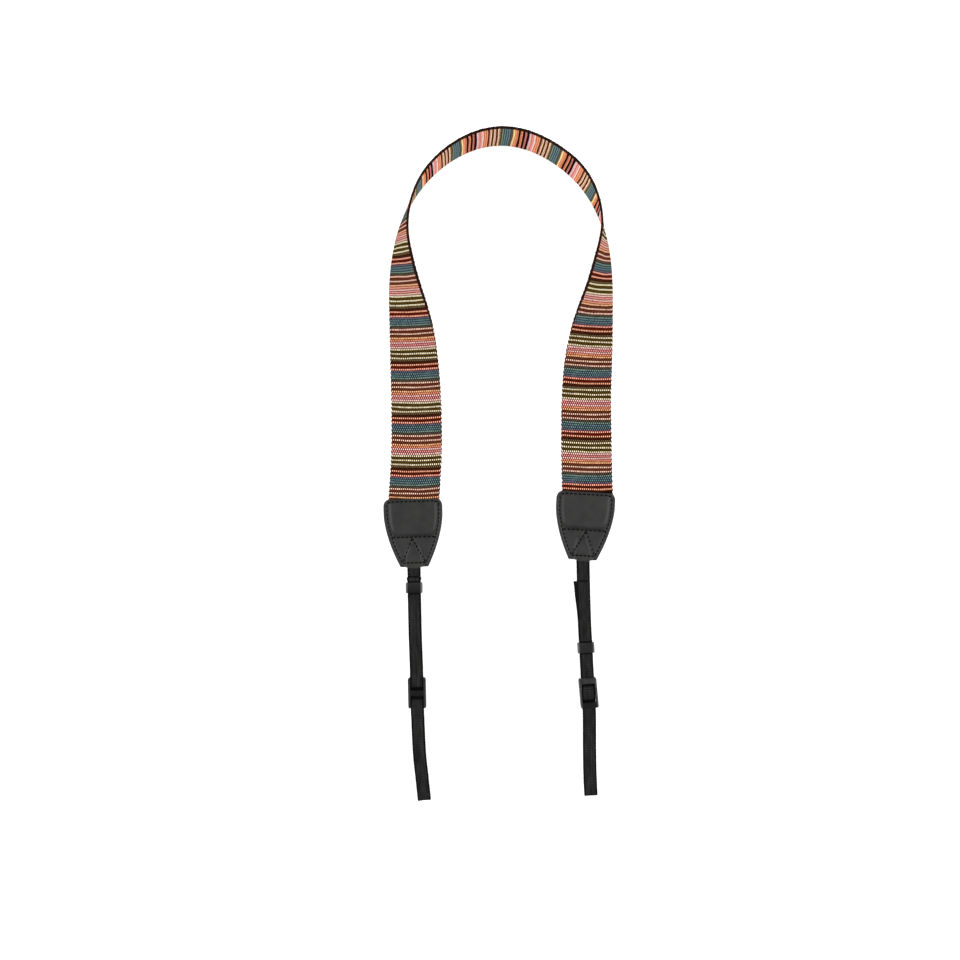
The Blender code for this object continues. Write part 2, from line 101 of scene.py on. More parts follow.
PLY_STEP = WEBBING_THICKNESS + PLY_GAP
STACK = WEBBING_THICKNESS + PLY_STEP
TAB_INSIDE = LEATHER_THICKNESS + CLEARANCE
BAND_POCKET = BAND_THICKNESS + CLEARANCE
WEBBING_POCKET = WEBBING_THICKNESS + CLEARANCE
KEEPER_INSIDE = KEEPER_WALL + CLEARANCE
ADJUSTER_HEIGHT = END_BAR_THICKNESS + STACK + 2 * CLEARANCE
STACK_OVER_END_BAR = END_BAR_THICKNESS + CLEARANCE
STACK_UNDER_MIDDLE_BAR = ADJUSTER_HEIGHT - MIDDLE_BAR_THICKNESS - CLEARANCE - STACK
HARDWARE_INSIDE_WIDTH = WEBBING_WIDTH + 2 * SIDE_CLEARANCE
print("adjuster height in mm", round(ADJUSTER_HEIGHT / MM, 2))

# %% The two ends of the strap, which differ a little as they lie
Side = namedtuple(
    "Side",
    "name sign fullness slump leg tab_shift tab_yaw webbing_yaw run free_end flare keeper_at"
    " adjuster_at main_on_top",
)
LEFT = Side(
    "left", -1, 0.0135, 0.0184, 149.0 * MM, -0.8 * MM, 1.6, 1.4, 173.2 * MM, 7.7 * MM, 0.0,
    15.4 * MM, 93.2 * MM, False,
)
RIGHT = Side(
    "right", 1, 0.0225, 0.0298, 144.4 * MM, -0.9 * MM, -3.2, 2.5, 175.0 * MM, 15.9 * MM, -2.1 * MM,
    65.0 * MM, 98.5 * MM, True,
)
SIDES = (LEFT, RIGHT)

Roll = namedtuple("Roll", "share left right")
BAND_ROLL = (
    Roll(0.00, 91.3, 91.3), Roll(0.12, 89.7, 91.6), Roll(0.22, 86.7, 91.5), Roll(0.30, 80.2, 86.4),
    Roll(0.36, 73.0, 79.5), Roll(0.44, 58.6, 64.7), Roll(0.52, 43.4, 50.1), Roll(0.60, 26.6, 31.2),
    Roll(0.68, 15.7, 16.4), Roll(0.78, 6.3, 8.0), Roll(0.88, 0.6, 2.0), Roll(1.00, 0.0, 0.0),
)
Stray = namedtuple("Stray", "share left right")
LEG_STRAY = (
    Stray(0.00, 0.0000, 0.0000), Stray(0.25, 0.0149, -0.0008), Stray(0.50, 0.0386, 0.0225),
    Stray(0.75, 0.0385, 0.0122), Stray(1.00, -0.0150, -0.0050),
)
WEBBING_STRAY = (
    Stray(0.00, -0.0024, 0.0020), Stray(0.15, -0.0037, -0.0012), Stray(0.30, -0.0040, -0.0027),
    Stray(0.48, -0.0018, -0.0010), Stray(0.64, -0.0018, 0.0010), Stray(0.80, 0.0018, -0.0046),
    Stray(0.90, 0.0098, -0.0074), Stray(1.00, 0.0180, -0.0074),
)

# %% [markdown]
# ## Curves and tables
# A short table with a smooth curve through its rows is easier to read and to change than a long list of
# points. `Line` reads a chain of points by the distance along it.

# %% Curves and tables


def smoothstep(t):
    t = max(0.0, min(1.0, t))
    return t * t * (3 - 2 * t)


def even_steps(start, end, step):
    """Places from start to end, about a step apart."""
    count = round(abs(end - start) / step)
    return [start + (end - start) * i / count for i in range(count + 1)]


def read_table(rows, column, share):
    """A column's value at a share, on a smooth curve through the table's rows."""
    at = [row.share for row in rows]
    value = [getattr(row, column) for row in rows]
    last = len(rows) - 1
    i = max(0, min(last - 1, bisect.bisect_right(at, share) - 1))
    span = at[i + 1] - at[i]
    t = max(0.0, min(1.0, (share - at[i]) / span))

    def slope(k):
        before, after = max(0, k - 1), min(last, k + 1)
        return (value[after] - value[before]) / (at[after] - at[before])

    return (
        value[i] * (2 * t**3 - 3 * t**2 + 1)
        + slope(i) * span * (t**3 - 2 * t**2 + t)
        + value[i + 1] * (3 * t**2 - 2 * t**3)
        + slope(i + 1) * span * (t**3 - t**2)
    )


class Line:
    """A chain of points that can be read by distance along it."""

    def __init__(self, points):
        self.points = points
        self.lengths = [0.0]
        for a, b in zip(points, points[1:]):
            self.lengths.append(self.lengths[-1] + (b - a).length)
        self.length = self.lengths[-1]

    def segment(self, distance):
        i = bisect.bisect_right(self.lengths, distance) - 1
        return max(0, min(len(self.points) - 2, i))

    def at(self, distance):
        i = self.segment(distance)
        span = self.lengths[i + 1] - self.lengths[i]
        return self.points[i].lerp(self.points[i + 1], (distance - self.lengths[i]) / span)

    def heading(self, distance):
        i = self.segment(distance)
        return (self.points[i + 1] - self.points[i]).normalized()


def heading_of(yaw):
    """The way down the strap at a yaw in degrees: 0 is -Y, and positive yaws swing it towards +X."""
    angle = math.radians(yaw)
    return Vector((math.sin(angle), -math.cos(angle), 0))


def across_of(heading):
    return Vector((-heading.y, heading.x, 0))


# %% [markdown]
# ## The route of the neck band
# The band's outer edge lies on the table: half an ellipse over the arch, then two nearly straight legs. At
# each place the band is rolled about that edge, from flat in the legs to upright at the crown. Both edges are
# woven to the same length, so a weft joins equal shares of the two.

# %% The route of the neck band
EDGE_SAMPLES = 240


@functools.cache
def outer_edge(side):
    """The band's outer edge on the table, from the crown of the arch down to the tab's mouth."""
    points = []
    for i in range(EDGE_SAMPLES + 1):
        angle = math.pi / 2 * i / EDGE_SAMPLES
        quarter = math.sin(2 * angle) ** 2
        scale = 1 + side.fullness * quarter - side.slump * quarter * math.cos(2 * angle)
        out, up = ARCH_HALF_SPAN * math.sin(angle), ARCH_RISE * math.cos(angle)
        points.append(Vector((side.sign * out, up, 0)) * scale)
    for i in range(1, EDGE_SAMPLES + 1):
        share = i / EDGE_SAMPLES
        out = ARCH_HALF_SPAN - BAND_WIDTH * read_table(LEG_STRAY, side.name, share)
        points.append(Vector((side.sign * out, -side.leg * share, 0)))
    return Line(points)


def inward_of(side, heading):
    return Vector((heading.y, -heading.x, 0)) * side.sign


@functools.cache
def mouth_of(side):
    """The middle of the tab's mouth, on the table."""
    down = heading_of(side.tab_yaw)
    band_end = outer_edge(side).points[-1] + inward_of(side, down) * BAND_WIDTH / 2
    return band_end + across_of(down) * side.tab_shift


@functools.cache
def band_edges(side):
    """Both edges of half the band, from the crown to the tab's mouth."""
    edge = outer_edge(side)
    outer, inner = [], []
    for i in range(EDGE_SAMPLES + 1):
        distance = edge.length * i / EDGE_SAMPLES
        roll = math.radians(read_table(BAND_ROLL, side.name, i / EDGE_SAMPLES))
        into_tab = smoothstep(1 - (edge.length - distance) / BAND_LIFT_RUN)
        lift = TABLE_GAP + (TAB_INSIDE - TABLE_GAP) * into_tab
        inward = inward_of(side, edge.heading(distance))
        low = edge.at(distance) + UP * (BAND_THICKNESS / 2 * abs(math.cos(roll)) + lift)
        outer.append(low)
        inner.append(low + (inward * math.cos(roll) + UP * math.sin(roll)) * BAND_WIDTH)
    return Line(outer), Line(inner)


def band_length(side):
    return sum(line.length for line in band_edges(side)) / 2


for side in SIDES:
    print(side.name, "half of the band in mm", round(band_length(side) / MM, 1))


# %% [markdown]
# ## The tab's outline
# Both leather panels share an outline: straight at the mouth, rounded at its corners, and drawn in to a
# narrow foot. How far a place is from that outline drives the rounded edge, the seam and the padded middle.

# %% The tab's outline
SIDE_STEP = 0.5 * MM


def tab_half_width(depth):
    past = max(0.0, depth - TAB_SHOULDER) / (TAB_HEIGHT - TAB_SHOULDER)
    return TAB_WIDTH / 2 - (TAB_WIDTH - TAB_FOOT_WIDTH) / 2 * past**TAB_TAPER_POWER


def tab_outline(depth):
    up_corner = max(0.0, TAB_CORNER - depth)
    return tab_half_width(depth) - TAB_CORNER + math.sqrt(TAB_CORNER**2 - up_corner**2)


def side_stretch(depth):
    """How much longer the tab's side is than its depth, where it leans inwards."""
    low, high = max(0.0, depth - SIDE_STEP), min(TAB_HEIGHT, depth + SIDE_STEP)
    return math.hypot(1, (tab_half_width(high) - tab_half_width(low)) / (high - low))


def tab_side_inset(across, depth):
    """How far inside the tab's side edge a place is."""
    return (tab_half_width(depth) - abs(across)) / side_stretch(depth)


def tab_inset(across, depth):
    """How far inside the tab's outline a place is, on any side."""
    past_corner = abs(across) - (tab_half_width(depth) - TAB_CORNER)
    if depth < TAB_CORNER and past_corner > 0:
        return TAB_CORNER - math.hypot(TAB_CORNER - depth, past_corner)
    return min(tab_side_inset(across, depth), depth, TAB_HEIGHT - depth)


# %% [markdown]
# ## The route of the narrow webbing
# Each webbing runs down from its tab, through a keeper and a slide adjuster, folds flat, and comes back
# through both. Its height follows what it passes over.

# %% The route of the narrow webbing


@functools.cache
def foot_of(side):
    return mouth_of(side) + heading_of(side.tab_yaw) * TAB_HEIGHT


def webbing_middle(side, distance):
    """The webbing's middle on the table, at a distance below the tab's foot."""
    heading = heading_of(side.webbing_yaw)
    strayed = read_table(WEBBING_STRAY, side.name, distance / side.run) * side.run
    return foot_of(side) + heading * distance + across_of(heading) * strayed


def webbing_heading(side, distance):
    return (webbing_middle(side, distance + MM) - webbing_middle(side, distance - MM)).normalized()


def held(distance, middle, half_length):
    return smoothstep(1 - (abs(distance - middle) - half_length) / WEBBING_RAMP)


def stack_in_adjuster(side, distance):
    over_ends, at_middle = STACK_OVER_END_BAR, STACK_UNDER_MIDDLE_BAR
    if side.main_on_top:
        over_ends, at_middle = (ADJUSTER_HEIGHT - STACK - height for height in (over_ends, at_middle))
    from_middle = abs(distance - side.adjuster_at) - ADJUSTER_MIDDLE_BAR / 2
    slot = ADJUSTER_LENGTH / 2 - ADJUSTER_END_BAR - ADJUSTER_MIDDLE_BAR / 2
    return at_middle + (over_ends - at_middle) * smoothstep(from_middle / slot)


def stack_height(side, distance):
    """The height of the lower ply's underside."""
    leaving_tab = TAB_INSIDE - (PLY_STEP if side.main_on_top else 0)
    return max(
        leaving_tab * smoothstep(1 - distance / WEBBING_RAMP),
        KEEPER_INSIDE * held(distance, side.keeper_at, KEEPER_LENGTH / 2),
        stack_in_adjuster(side, distance) * held(distance, side.adjuster_at, ADJUSTER_LENGTH / 2),
    )


# %% [markdown]
# ## Making a strap
# A strap is a flat section drawn along a route. Here a grid is wrapped round that route, one row of the grid
# for each station: its first and last columns meet and are merged, and its two ends are filled. Every corner
# keeps its place across and along the strap in a UV map, so the weave follows the strap wherever it goes.

# %% Making a strap
Station = namedtuple("Station", "middle across normal heading along")
Spot = namedtuple("Spot", "across height mark shift")


def finish_mesh(name, shape, place=Matrix.Identity(4)):
    """Ends a bmesh: puts it at its place on the strap and makes its object at the origin."""
    shape.transform(Matrix.Translation(WHOLE_STRAP_AT) @ place)
    data = bpy.data.meshes.new(name)
    shape.to_mesh(data)
    shape.free()
    data.shade_smooth()
    piece = bpy.data.objects.new(name, data)
    bpy.context.scene.collection.objects.link(piece)
    return piece


def report(piece):
    """Prints a piece's size and its faces."""
    count = len(piece.data.polygons)
    values = np.empty(len(piece.data.vertices) * 3)
    piece.data.vertices.foreach_get("co", values)
    values = values.reshape(-1, 3) / MM
    low, high = values.min(axis=0).round(2).tolist(), values.max(axis=0).round(2).tolist()
    print(f"{piece.name}: {count} faces, from {low} to {high} mm")


def wrap_strap(name, stations, section):
    """A closed strap, stopped by the table. section(i) gives the spots round the section at station i: where
    each lies across the strap, its height, a mark that the material reads, and its shift along the strap."""
    rows = [section(i) for i in range(len(stations))]
    around = len(rows[0])
    shape = bmesh.new()
    bmesh.ops.create_grid(shape, x_segments=around, y_segments=len(stations) - 1, size=0.5)
    weave = shape.loops.layers.uv.new("weave")
    mark = shape.verts.layers.float.new("mark")
    spots = {}
    for corner in shape.verts:
        row = round((corner.co.y + 0.5) * (len(stations) - 1))
        column = round((corner.co.x + 0.5) * around) % around
        station = stations[row]
        spot = rows[row][column]
        spots[corner] = (spot.across / MM, station.along)
        corner[mark] = spot.mark
        corner.co = station.middle + station.across * spot.across + station.normal * spot.height
        corner.co += station.heading * spot.shift
        corner.co.z = max(0.0, corner.co.z)
    for face in shape.faces:
        for loop in face.loops:
            loop[weave].uv = spots[loop.vert]
    bmesh.ops.remove_doubles(shape, verts=shape.verts, dist=0.001 * MM)
    bmesh.ops.holes_fill(shape, edges=[edge for edge in shape.edges if edge.is_boundary], sides=0)
    bmesh.ops.recalc_face_normals(shape, faces=shape.faces)
    return finish_mesh(name, shape)


# %% [markdown]
# ## The woven band
# The band is a coarse striped weave. Its rows lie across it, and each row is a thick rib with a groove on
# both sides. The rows count 24 to a repeat of the stripes, so the stations are set by rows, four to each, and
# the surface is really ribbed. At both edges every second row turns round a dark cord, which makes a row of
# small teeth. `STRIPES_AT` says how many repeats have been woven at some distances from the crown.

# %% Where the rows lie
ROWS_IN_REPEAT = 24
STATIONS_IN_ROW = 4
Woven = namedtuple("Woven", "share along")
STRIPES_AT = (
    Woven(-1.1, -335.6), Woven(0.0, -292.2), Woven(4.0, -135.1), Woven(5.6, -73.4), Woven(7.6, 3.5),
    Woven(9.6, 80.2), Woven(11.0, 136.8), Woven(15.0, 293.8), Woven(16.1, 336.9),
)
RIB_DEPTH = 0.24 * MM
TOOTH_DEPTH = 0.5 * MM
BAND_TRIM_IN_TAB = 2.4 * MM
BAND_TRIM_RUN = 4.0 * MM
BAND_TO_TAB_SIDE = 2.8 * MM


def band_place(along):
    """Both edges of the band at a signed distance from the crown, and how far that is inside a tab."""
    side = RIGHT if along > 0 else LEFT
    half = band_length(side)
    inside = abs(along) - half
    outer, inner = band_edges(side)
    if inside <= 0:
        share = abs(along) / half
        return outer.at(share * outer.length), inner.at(share * inner.length), 0.0
    down = heading_of(side.tab_yaw)
    across = across_of(down)
    middle = mouth_of(side) + UP * (TAB_INSIDE + BAND_THICKNESS / 2) + down * inside
    trim = BAND_TRIM_IN_TAB * smoothstep(inside / BAND_TRIM_RUN)
    room = tab_half_width(inside) - BAND_TO_TAB_SIDE - trim if inside > MM else BAND_WIDTH
    low = middle + across * max(-side.tab_shift - BAND_WIDTH / 2, -room)
    high = middle + across * min(-side.tab_shift + BAND_WIDTH / 2, room)
    return (high, low, inside) if side.sign > 0 else (low, high, inside)


def band_stations():
    """Stations from the band's end in the left tab, over the crown, to its end in the right tab."""
    step = 1 / (ROWS_IN_REPEAT * STATIONS_IN_ROW)
    found = []
    for i in range(round(STRIPES_AT[0].share / step), round(STRIPES_AT[-1].share / step)):
        along = read_table(STRIPES_AT, "along", i * step) * MM
        if -band_length(LEFT) - BAND_IN_TAB < along < band_length(RIGHT) + BAND_IN_TAB:
            found.append((i * step, band_place(along)))
    stations = []
    for i, (woven, (outer, inner, inside)) in enumerate(found):
        before, after = found[max(0, i - 1)][1], found[min(len(found) - 1, i + 1)][1]
        heading = (after[0] + after[1] - before[0] - before[1]).normalized()
        across = (inner - outer).normalized()
        normal = across.cross(heading).normalized()
        station = Station(outer, across, normal, heading, woven)
        stations.append((station, (inner - outer).length, inside))
    return stations


# %% [markdown]
# The wefts aren't straight. The loom and the wearer have pulled them a little askew, and in the legs their
# middle sags towards the tabs. A table gives both in millimetres, and a slow noise makes each row differ.

# %% The band's section
Pull = namedtuple("Pull", "share lean sag")
WEFT_PULL = (
    Pull(-0.2, 2.2, -1.0), Pull(2.0, 1.5, -0.6), Pull(4.0, 0.9, -0.3), Pull(5.6, 0.7, 0.5),
    Pull(7.6, 1.1, 0.4), Pull(9.6, 1.2, 0.4), Pull(11.0, 0.8, 0.8), Pull(13.0, 0.2, 0.6),
    Pull(15.2, -1.3, 0.6),
)
WEFT_DRIFT = 0.3
FACE_STEPS = 19
EDGE_ROUND = 0.9 * MM
DIAGONAL = 0.71


def weft_shift(across, woven):
    """How far a weft is pulled along the band at a share of its width."""
    lean = read_table(WEFT_PULL, "lean", woven) * (across - 0.5)
    sag = read_table(WEFT_PULL, "sag", woven) * (1 - (2 * across - 1) ** 2)
    drift = WEFT_DRIFT * noise.noise(Vector((across * 3.0, woven * 9.0, 0.5)))
    return (lean + sag + drift) * MM


def rib_at(woven):
    """1 on the ridge of a row and 0 in the groove between two."""
    return math.sin(math.pi * (woven * ROWS_IN_REPEAT % 1)) ** 2


def band_section(station, width):
    """Spots round the band: over its face, round the inner edge, back under it, round the outer edge. Each
    edge is full at every second row and drawn in between, a little differently each time."""
    rows = station.along * ROWS_IN_REPEAT
    half = BAND_THICKNESS / 2 - RIB_DEPTH * (1 - rib_at(station.along))
    low, high = EDGE_ROUND, width - EDGE_ROUND
    face = [low + (high - low) * i / FACE_STEPS for i in range(FACE_STEPS + 1)]
    turn = math.sin(math.pi * rows / 2) ** 2
    ragged = [noise.noise(Vector((math.floor(rows) * 0.77, edge, 0.0))) for edge in (3.1, 7.3, 11.7)]
    outer = EDGE_ROUND - TOOTH_DEPTH * (1 - turn) * (1 + ragged[0])
    inner = EDGE_ROUND - TOOTH_DEPTH * turn * (1 + ragged[1])
    cord = half * (0.85 + 0.4 * ragged[2])
    beside, past = low - outer * DIAGONAL, high + inner * DIAGONAL
    points = [(low - outer, 0.0, 0.5), (beside, half * DIAGONAL, 0.0)]
    points += [(at, half, 0.0) for at in face]
    points += [(past, cord, 0.0), (high + inner, 0.0, 0.5), (past, -cord, 1.0)]
    points += [(at, -half, 1.0) for at in face[::-1]]
    points += [(beside, -half * DIAGONAL, 1.0)]
    return [Spot(at, height, below, weft_shift(at / width, station.along)) for at, height, below in points]


# %% Weaving the band
placed = band_stations()
stations = [station for station, _, _ in placed]
widths = [width for _, width, _ in placed]
in_sight = [station.along for station, _, inside in placed if inside == 0]
neck_band = wrap_strap("woven_neck_band", stations, lambda i: band_section(stations[i], widths[i]))
report(neck_band)

# %% [markdown]
# ## The leather tabs
# A tab is two leather panels sewn together round their edge. The back one is flat. The front one is pressed
# over the band's end, which fills its upper half like a pad, and over the webbing's end, which makes a
# smaller ridge below. The thread pulls a fine groove into the leather along every seam.

# %% The seams of a tab
SEAM_INSET = 2.7 * MM
MOUTH_SEAM_INSET = 1.6 * MM
CROSS_SEAM_AT = 27.4 * MM
FOOT_SEAM_INSET = 3.1 * MM
SEAM_CORNER = 3.0 * MM
SEAM_STEPS = 60
APEX_ASIDE = 1.2 * MM
APEX_BELOW = 0.6 * MM
STRUT_INWARD = 0.5 * MM
STRUT_UP = 0.4 * MM


def seam_side(sign):
    """A side seam, from the mouth seam's end down to the foot seam's end."""
    points = []
    start, end = MOUTH_SEAM_INSET, TAB_HEIGHT - FOOT_SEAM_INSET
    for i in range(SEAM_STEPS + 1):
        depth = start + (end - start) * i / SEAM_STEPS
        up_corner = max(0.0, start + SEAM_CORNER - depth)
        cut = SEAM_CORNER - math.sqrt(max(0.0, SEAM_CORNER**2 - up_corner**2))
        at = tab_half_width(depth) - SEAM_INSET * side_stretch(depth) - cut
        points.append(Vector((sign * at, depth, 0)))
    return points


@functools.cache
def tab_seams(side):
    """The seams of a tab as chains of (across, depth, 0) points."""
    left, right = seam_side(-1), seam_side(1)
    apex = Vector((side.sign * APEX_ASIDE, CROSS_SEAM_AT + APEX_BELOW, 0))
    cross = tab_half_width(CROSS_SEAM_AT) - SEAM_INSET
    struts = [[apex, end + Vector((way * STRUT_INWARD, -STRUT_UP, 0))]
              for end, way in ((left[-1], 1), (right[-1], -1))]
    across = [[Vector((-cross, CROSS_SEAM_AT, 0)), Vector((cross, CROSS_SEAM_AT, 0))]]
    return [left, right, [left[0], right[0]]] + across + [[left[-1], right[-1]]] + struts


def distance_to_seams(side, across, depth):
    """How far places are from the nearest seam, for whole arrays at once."""
    nearest = np.full(np.shape(across), 1.0)
    for points in tab_seams(side):
        for a, b in zip(points, points[1:]):
            run_x, run_y = b.x - a.x, b.y - a.y
            length = run_x**2 + run_y**2
            t = np.clip(((across - a.x) * run_x + (depth - a.y) * run_y) / length, 0, 1)
            gap = np.hypot(across - a.x - t * run_x, depth - a.y - t * run_y)
            nearest = np.minimum(nearest, gap)
    return nearest


# %% The pressed form of the front panel
MOUTH_REACH = 0.9 * MM
MOUTH_REACH_RUN = 5.0 * MM
FOOT_LIP = 1.3 * MM
FOOT_LIP_RUN = 3.0 * MM
FOOT_LIP_HALF_WIDTH = 6.38 * MM
FOOT_LIP_FADE = 4.4 * MM
PAD_SLOPE = 3.2 * MM
PAD_CORNER = 6.0 * MM
PAD_MOUTH_RUN = 4.0 * MM
PAD_TO_CROSS_SEAM = 0.3 * MM
RIDGE_SLOPE = 1.6 * MM
RIDGE_TOP = 19.0 * MM
RIDGE_TOP_RUN = 5.0 * MM
RIDGE_TOP_HALF_WIDTH = 1.2 * MM
RIDGE_SPREAD = 0.41


def swell(distance, slope):
    """A padded edge: steep at the seam and level once the slope is passed."""
    return math.sin(math.pi / 2 * max(0.0, min(1.0, distance / slope)))


def webbing_in_tab(side, from_foot):
    """Where across the tab the webbing's middle lies, at a distance above the foot."""
    lean = math.tan(math.radians(side.webbing_yaw - side.tab_yaw))
    return read_table(WEBBING_STRAY, side.name, 0.0) * side.run - from_foot * lean


def stretched(side, across, depth):
    """The front panel's depth once pressed: it creeps up over the band and bulges down over the webbing."""
    creep = MOUTH_REACH * smoothstep(1 - depth / MOUTH_REACH_RUN)
    from_foot = TAB_HEIGHT - depth
    aside = abs(across - webbing_in_tab(side, from_foot))
    over_webbing = smoothstep((FOOT_LIP_HALF_WIDTH - aside) / FOOT_LIP_FADE)
    return depth - creep + FOOT_LIP * over_webbing * smoothstep(1 - from_foot / FOOT_LIP_RUN)


def pressed_height(side, across, depth):
    """How far the front panel stands off the seam, over the band's end and over the webbing's end."""
    from_side = tab_side_inset(across, depth) - SEAM_INSET * smoothstep(depth / PAD_MOUTH_RUN)
    from_cross = CROSS_SEAM_AT - PAD_TO_CROSS_SEAM - depth
    short = (max(0.0, PAD_CORNER - from_side), max(0.0, PAD_CORNER - from_cross))
    pad = swell(PAD_CORNER - math.hypot(*short), PAD_SLOPE) if min(from_side, from_cross) > 0 else 0.0
    from_foot = TAB_HEIGHT - depth
    to_top = RIDGE_TOP - from_foot
    half_ridge = min(WEBBING_WIDTH / 2 + CLEARANCE, to_top * RIDGE_SPREAD + RIDGE_TOP_HALF_WIDTH)
    outside = abs(across - webbing_in_tab(side, from_foot)) - half_ridge
    ridge = smoothstep(1 - outside / RIDGE_SLOPE) * smoothstep(to_top / RIDGE_TOP_RUN)
    return max(BAND_POCKET * pad, WEBBING_POCKET * ridge)


# %% A leather panel
GROOVE_DEPTH = 0.35 * MM
GROOVE_WIDTH = 0.75 * MM
EDGE_STEPS = (0.0, 0.12, 0.3, 0.6, 1.0, 1.5, 1.9, 2.3, 2.7, 3.1, 3.5, 4.1, 4.9)
END_STEPS = EDGE_STEPS[:10]
MIDDLE_STEPS = 26
DOWN_STEPS = 78
LEATHER_ROUND = 0.55 * MM
BACK_ROUND_SHARE = 0.6


def spaced(low, high, edge_steps, middle_steps):
    """Places from low to high: fixed steps in from both ends, and even ones between."""
    steps = [step * MM for step in edge_steps]
    start, end = low + steps[-1], high - steps[-1]
    middle = [start + (end - start) * i / middle_steps for i in range(1, middle_steps)]
    return [low + step for step in steps] + middle + [high - step for step in steps[::-1]]


def rounding(inset):
    """How far a rounded edge has dropped at a distance inside it."""
    short = max(0.0, 1 - max(0.0, inset) / LEATHER_ROUND)
    return LEATHER_ROUND * (1 - math.sqrt(1 - short * short))


def tab_place(side):
    return Matrix.Translation(mouth_of(side)) @ Matrix.Rotation(math.radians(side.tab_yaw), 4, "Z")


def leather_panel(name, side, under, over, pressed):
    """A panel between an underside and an upper side, both given as heights at (across, depth, gap)."""
    depths = spaced(0.0, TAB_HEIGHT, END_STEPS, DOWN_STEPS)
    rows = [spaced(-tab_outline(depth), tab_outline(depth), EDGE_STEPS, MIDDLE_STEPS) for depth in depths]
    shape = bmesh.new()
    bmesh.ops.create_grid(shape, x_segments=len(rows[0]) - 1, y_segments=len(depths) - 1, size=0.5)
    corners = shape.verts[:]
    where = []
    for corner in corners:
        row = round((0.5 - corner.co.y) * (len(depths) - 1))
        column = round((corner.co.x + 0.5) * (len(rows[0]) - 1))
        where.append((rows[row][column], depths[row]))
    gaps = distance_to_seams(side, *(np.array(values) for values in zip(*where)))
    heights = {}
    for corner, (across, depth), gap in zip(corners, where, gaps):
        down = stretched(side, across, depth) if pressed else depth
        corner.co = (across, -down, over(across, depth, gap))
        heights[corner.co.x, corner.co.y] = under(across, depth, gap)
    lowered = bmesh.ops.extrude_face_region(shape, geom=shape.faces[:])["geom"]
    for part in lowered:
        if isinstance(part, bmesh.types.BMVert):
            part.co.z = heights[part.co.x, part.co.y]
    bmesh.ops.recalc_face_normals(shape, faces=shape.faces)
    return finish_mesh(name, shape, tab_place(side))


def front_under(side, across, depth, gap):
    """The underside of the front panel."""
    return TAB_INSIDE + pressed_height(side, across, depth)


def front_top(side, across, depth, gap):
    """The upper side of the front panel, with its rounded edge and the groove along every seam."""
    height = front_under(side, across, depth, gap) + LEATHER_THICKNESS
    return height - rounding(tab_inset(across, depth)) - GROOVE_DEPTH * math.exp(-((gap / GROOVE_WIDTH) ** 2))


def back_under(across, depth, gap):
    return rounding(tab_inset(across, depth)) * BACK_ROUND_SHARE


def back_top(across, depth, gap):
    return LEATHER_THICKNESS - back_under(across, depth, gap)


# %% Cutting and pressing the panels
leather_pieces = []
for side in SIDES:
    under, top = functools.partial(front_under, side), functools.partial(front_top, side)
    front = leather_panel(f"{side.name}_front_leather", side, under, top, pressed=True)
    back = leather_panel(f"{side.name}_back_leather", side, back_under, back_top, pressed=False)
    for piece, node in ((front, f"{side.name}_tab_front"), (back, f"{side.name}_tab_back")):
        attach(piece, "root")
        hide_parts(node)
        leather_pieces.append(piece)
        report(piece)


# %% [markdown]
# ## The stitches
# Every stitch is a short fat length of waxed thread that dives into a hole at both ends. A stretched sphere
# of few faces is enough for each. They are set along the seams at an even pitch and sunk into the groove.

# %% Sewing the tabs
STITCH_PITCH = 3.1 * MM
STITCH_SIZE = Vector((2.5, 1.25, 0.75)) * MM
STITCH_LIFT = 0.02 * MM
STITCH_PROBE = 0.8 * MM


def sew(side):
    """All the stitches of a tab, each tilted to the leather between two places on its seam."""
    shape = bmesh.new()
    count = 0
    for points in tab_seams(side):
        line = Line(points)
        stitches = max(1, round(line.length / STITCH_PITCH))
        for i in range(stitches):
            distance = line.length * (i + 0.5) / stitches
            spot, heading = line.at(distance), line.heading(distance)
            low, middle, high = (
                front_top(side, spot.x + heading.x * step, spot.y + heading.y * step, 0.0)
                for step in (-STITCH_PROBE, 0.0, STITCH_PROBE)
            )
            down = stretched(side, spot.x, spot.y)
            place = (
                Matrix.Translation((spot.x, -down, middle + STITCH_LIFT))
                @ Matrix.Rotation(math.atan2(-heading.y, heading.x), 4, "Z")
                @ Matrix.Rotation(-math.atan2(high - low, 2 * STITCH_PROBE), 4, "Y")
                @ Matrix.Diagonal((*STITCH_SIZE, 1))
            )
            bmesh.ops.create_uvsphere(shape, u_segments=8, v_segments=6, radius=0.5, matrix=place)
        count += stitches
    print(side.name, "stitches", count)
    return finish_mesh(f"{side.name}_stitches", shape, tab_place(side))


stitch_pieces = [sew(side) for side in SIDES]
for piece in stitch_pieces:
    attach(piece, "root")


# %% [markdown]
# ## The narrow webbings
# The webbing is woven flat, with a firm raised edge on both sides. Its free end is cut with heat, which
# melts it into a slightly wider lip. The plies lie close, so the section stays inside the solid's thickness.

# %% The webbing's stations
WEBBING_STATION_STEP = 0.4 * MM
FOLD_STEPS = 12
Shadow = namedtuple("Shadow", "distance at reach")


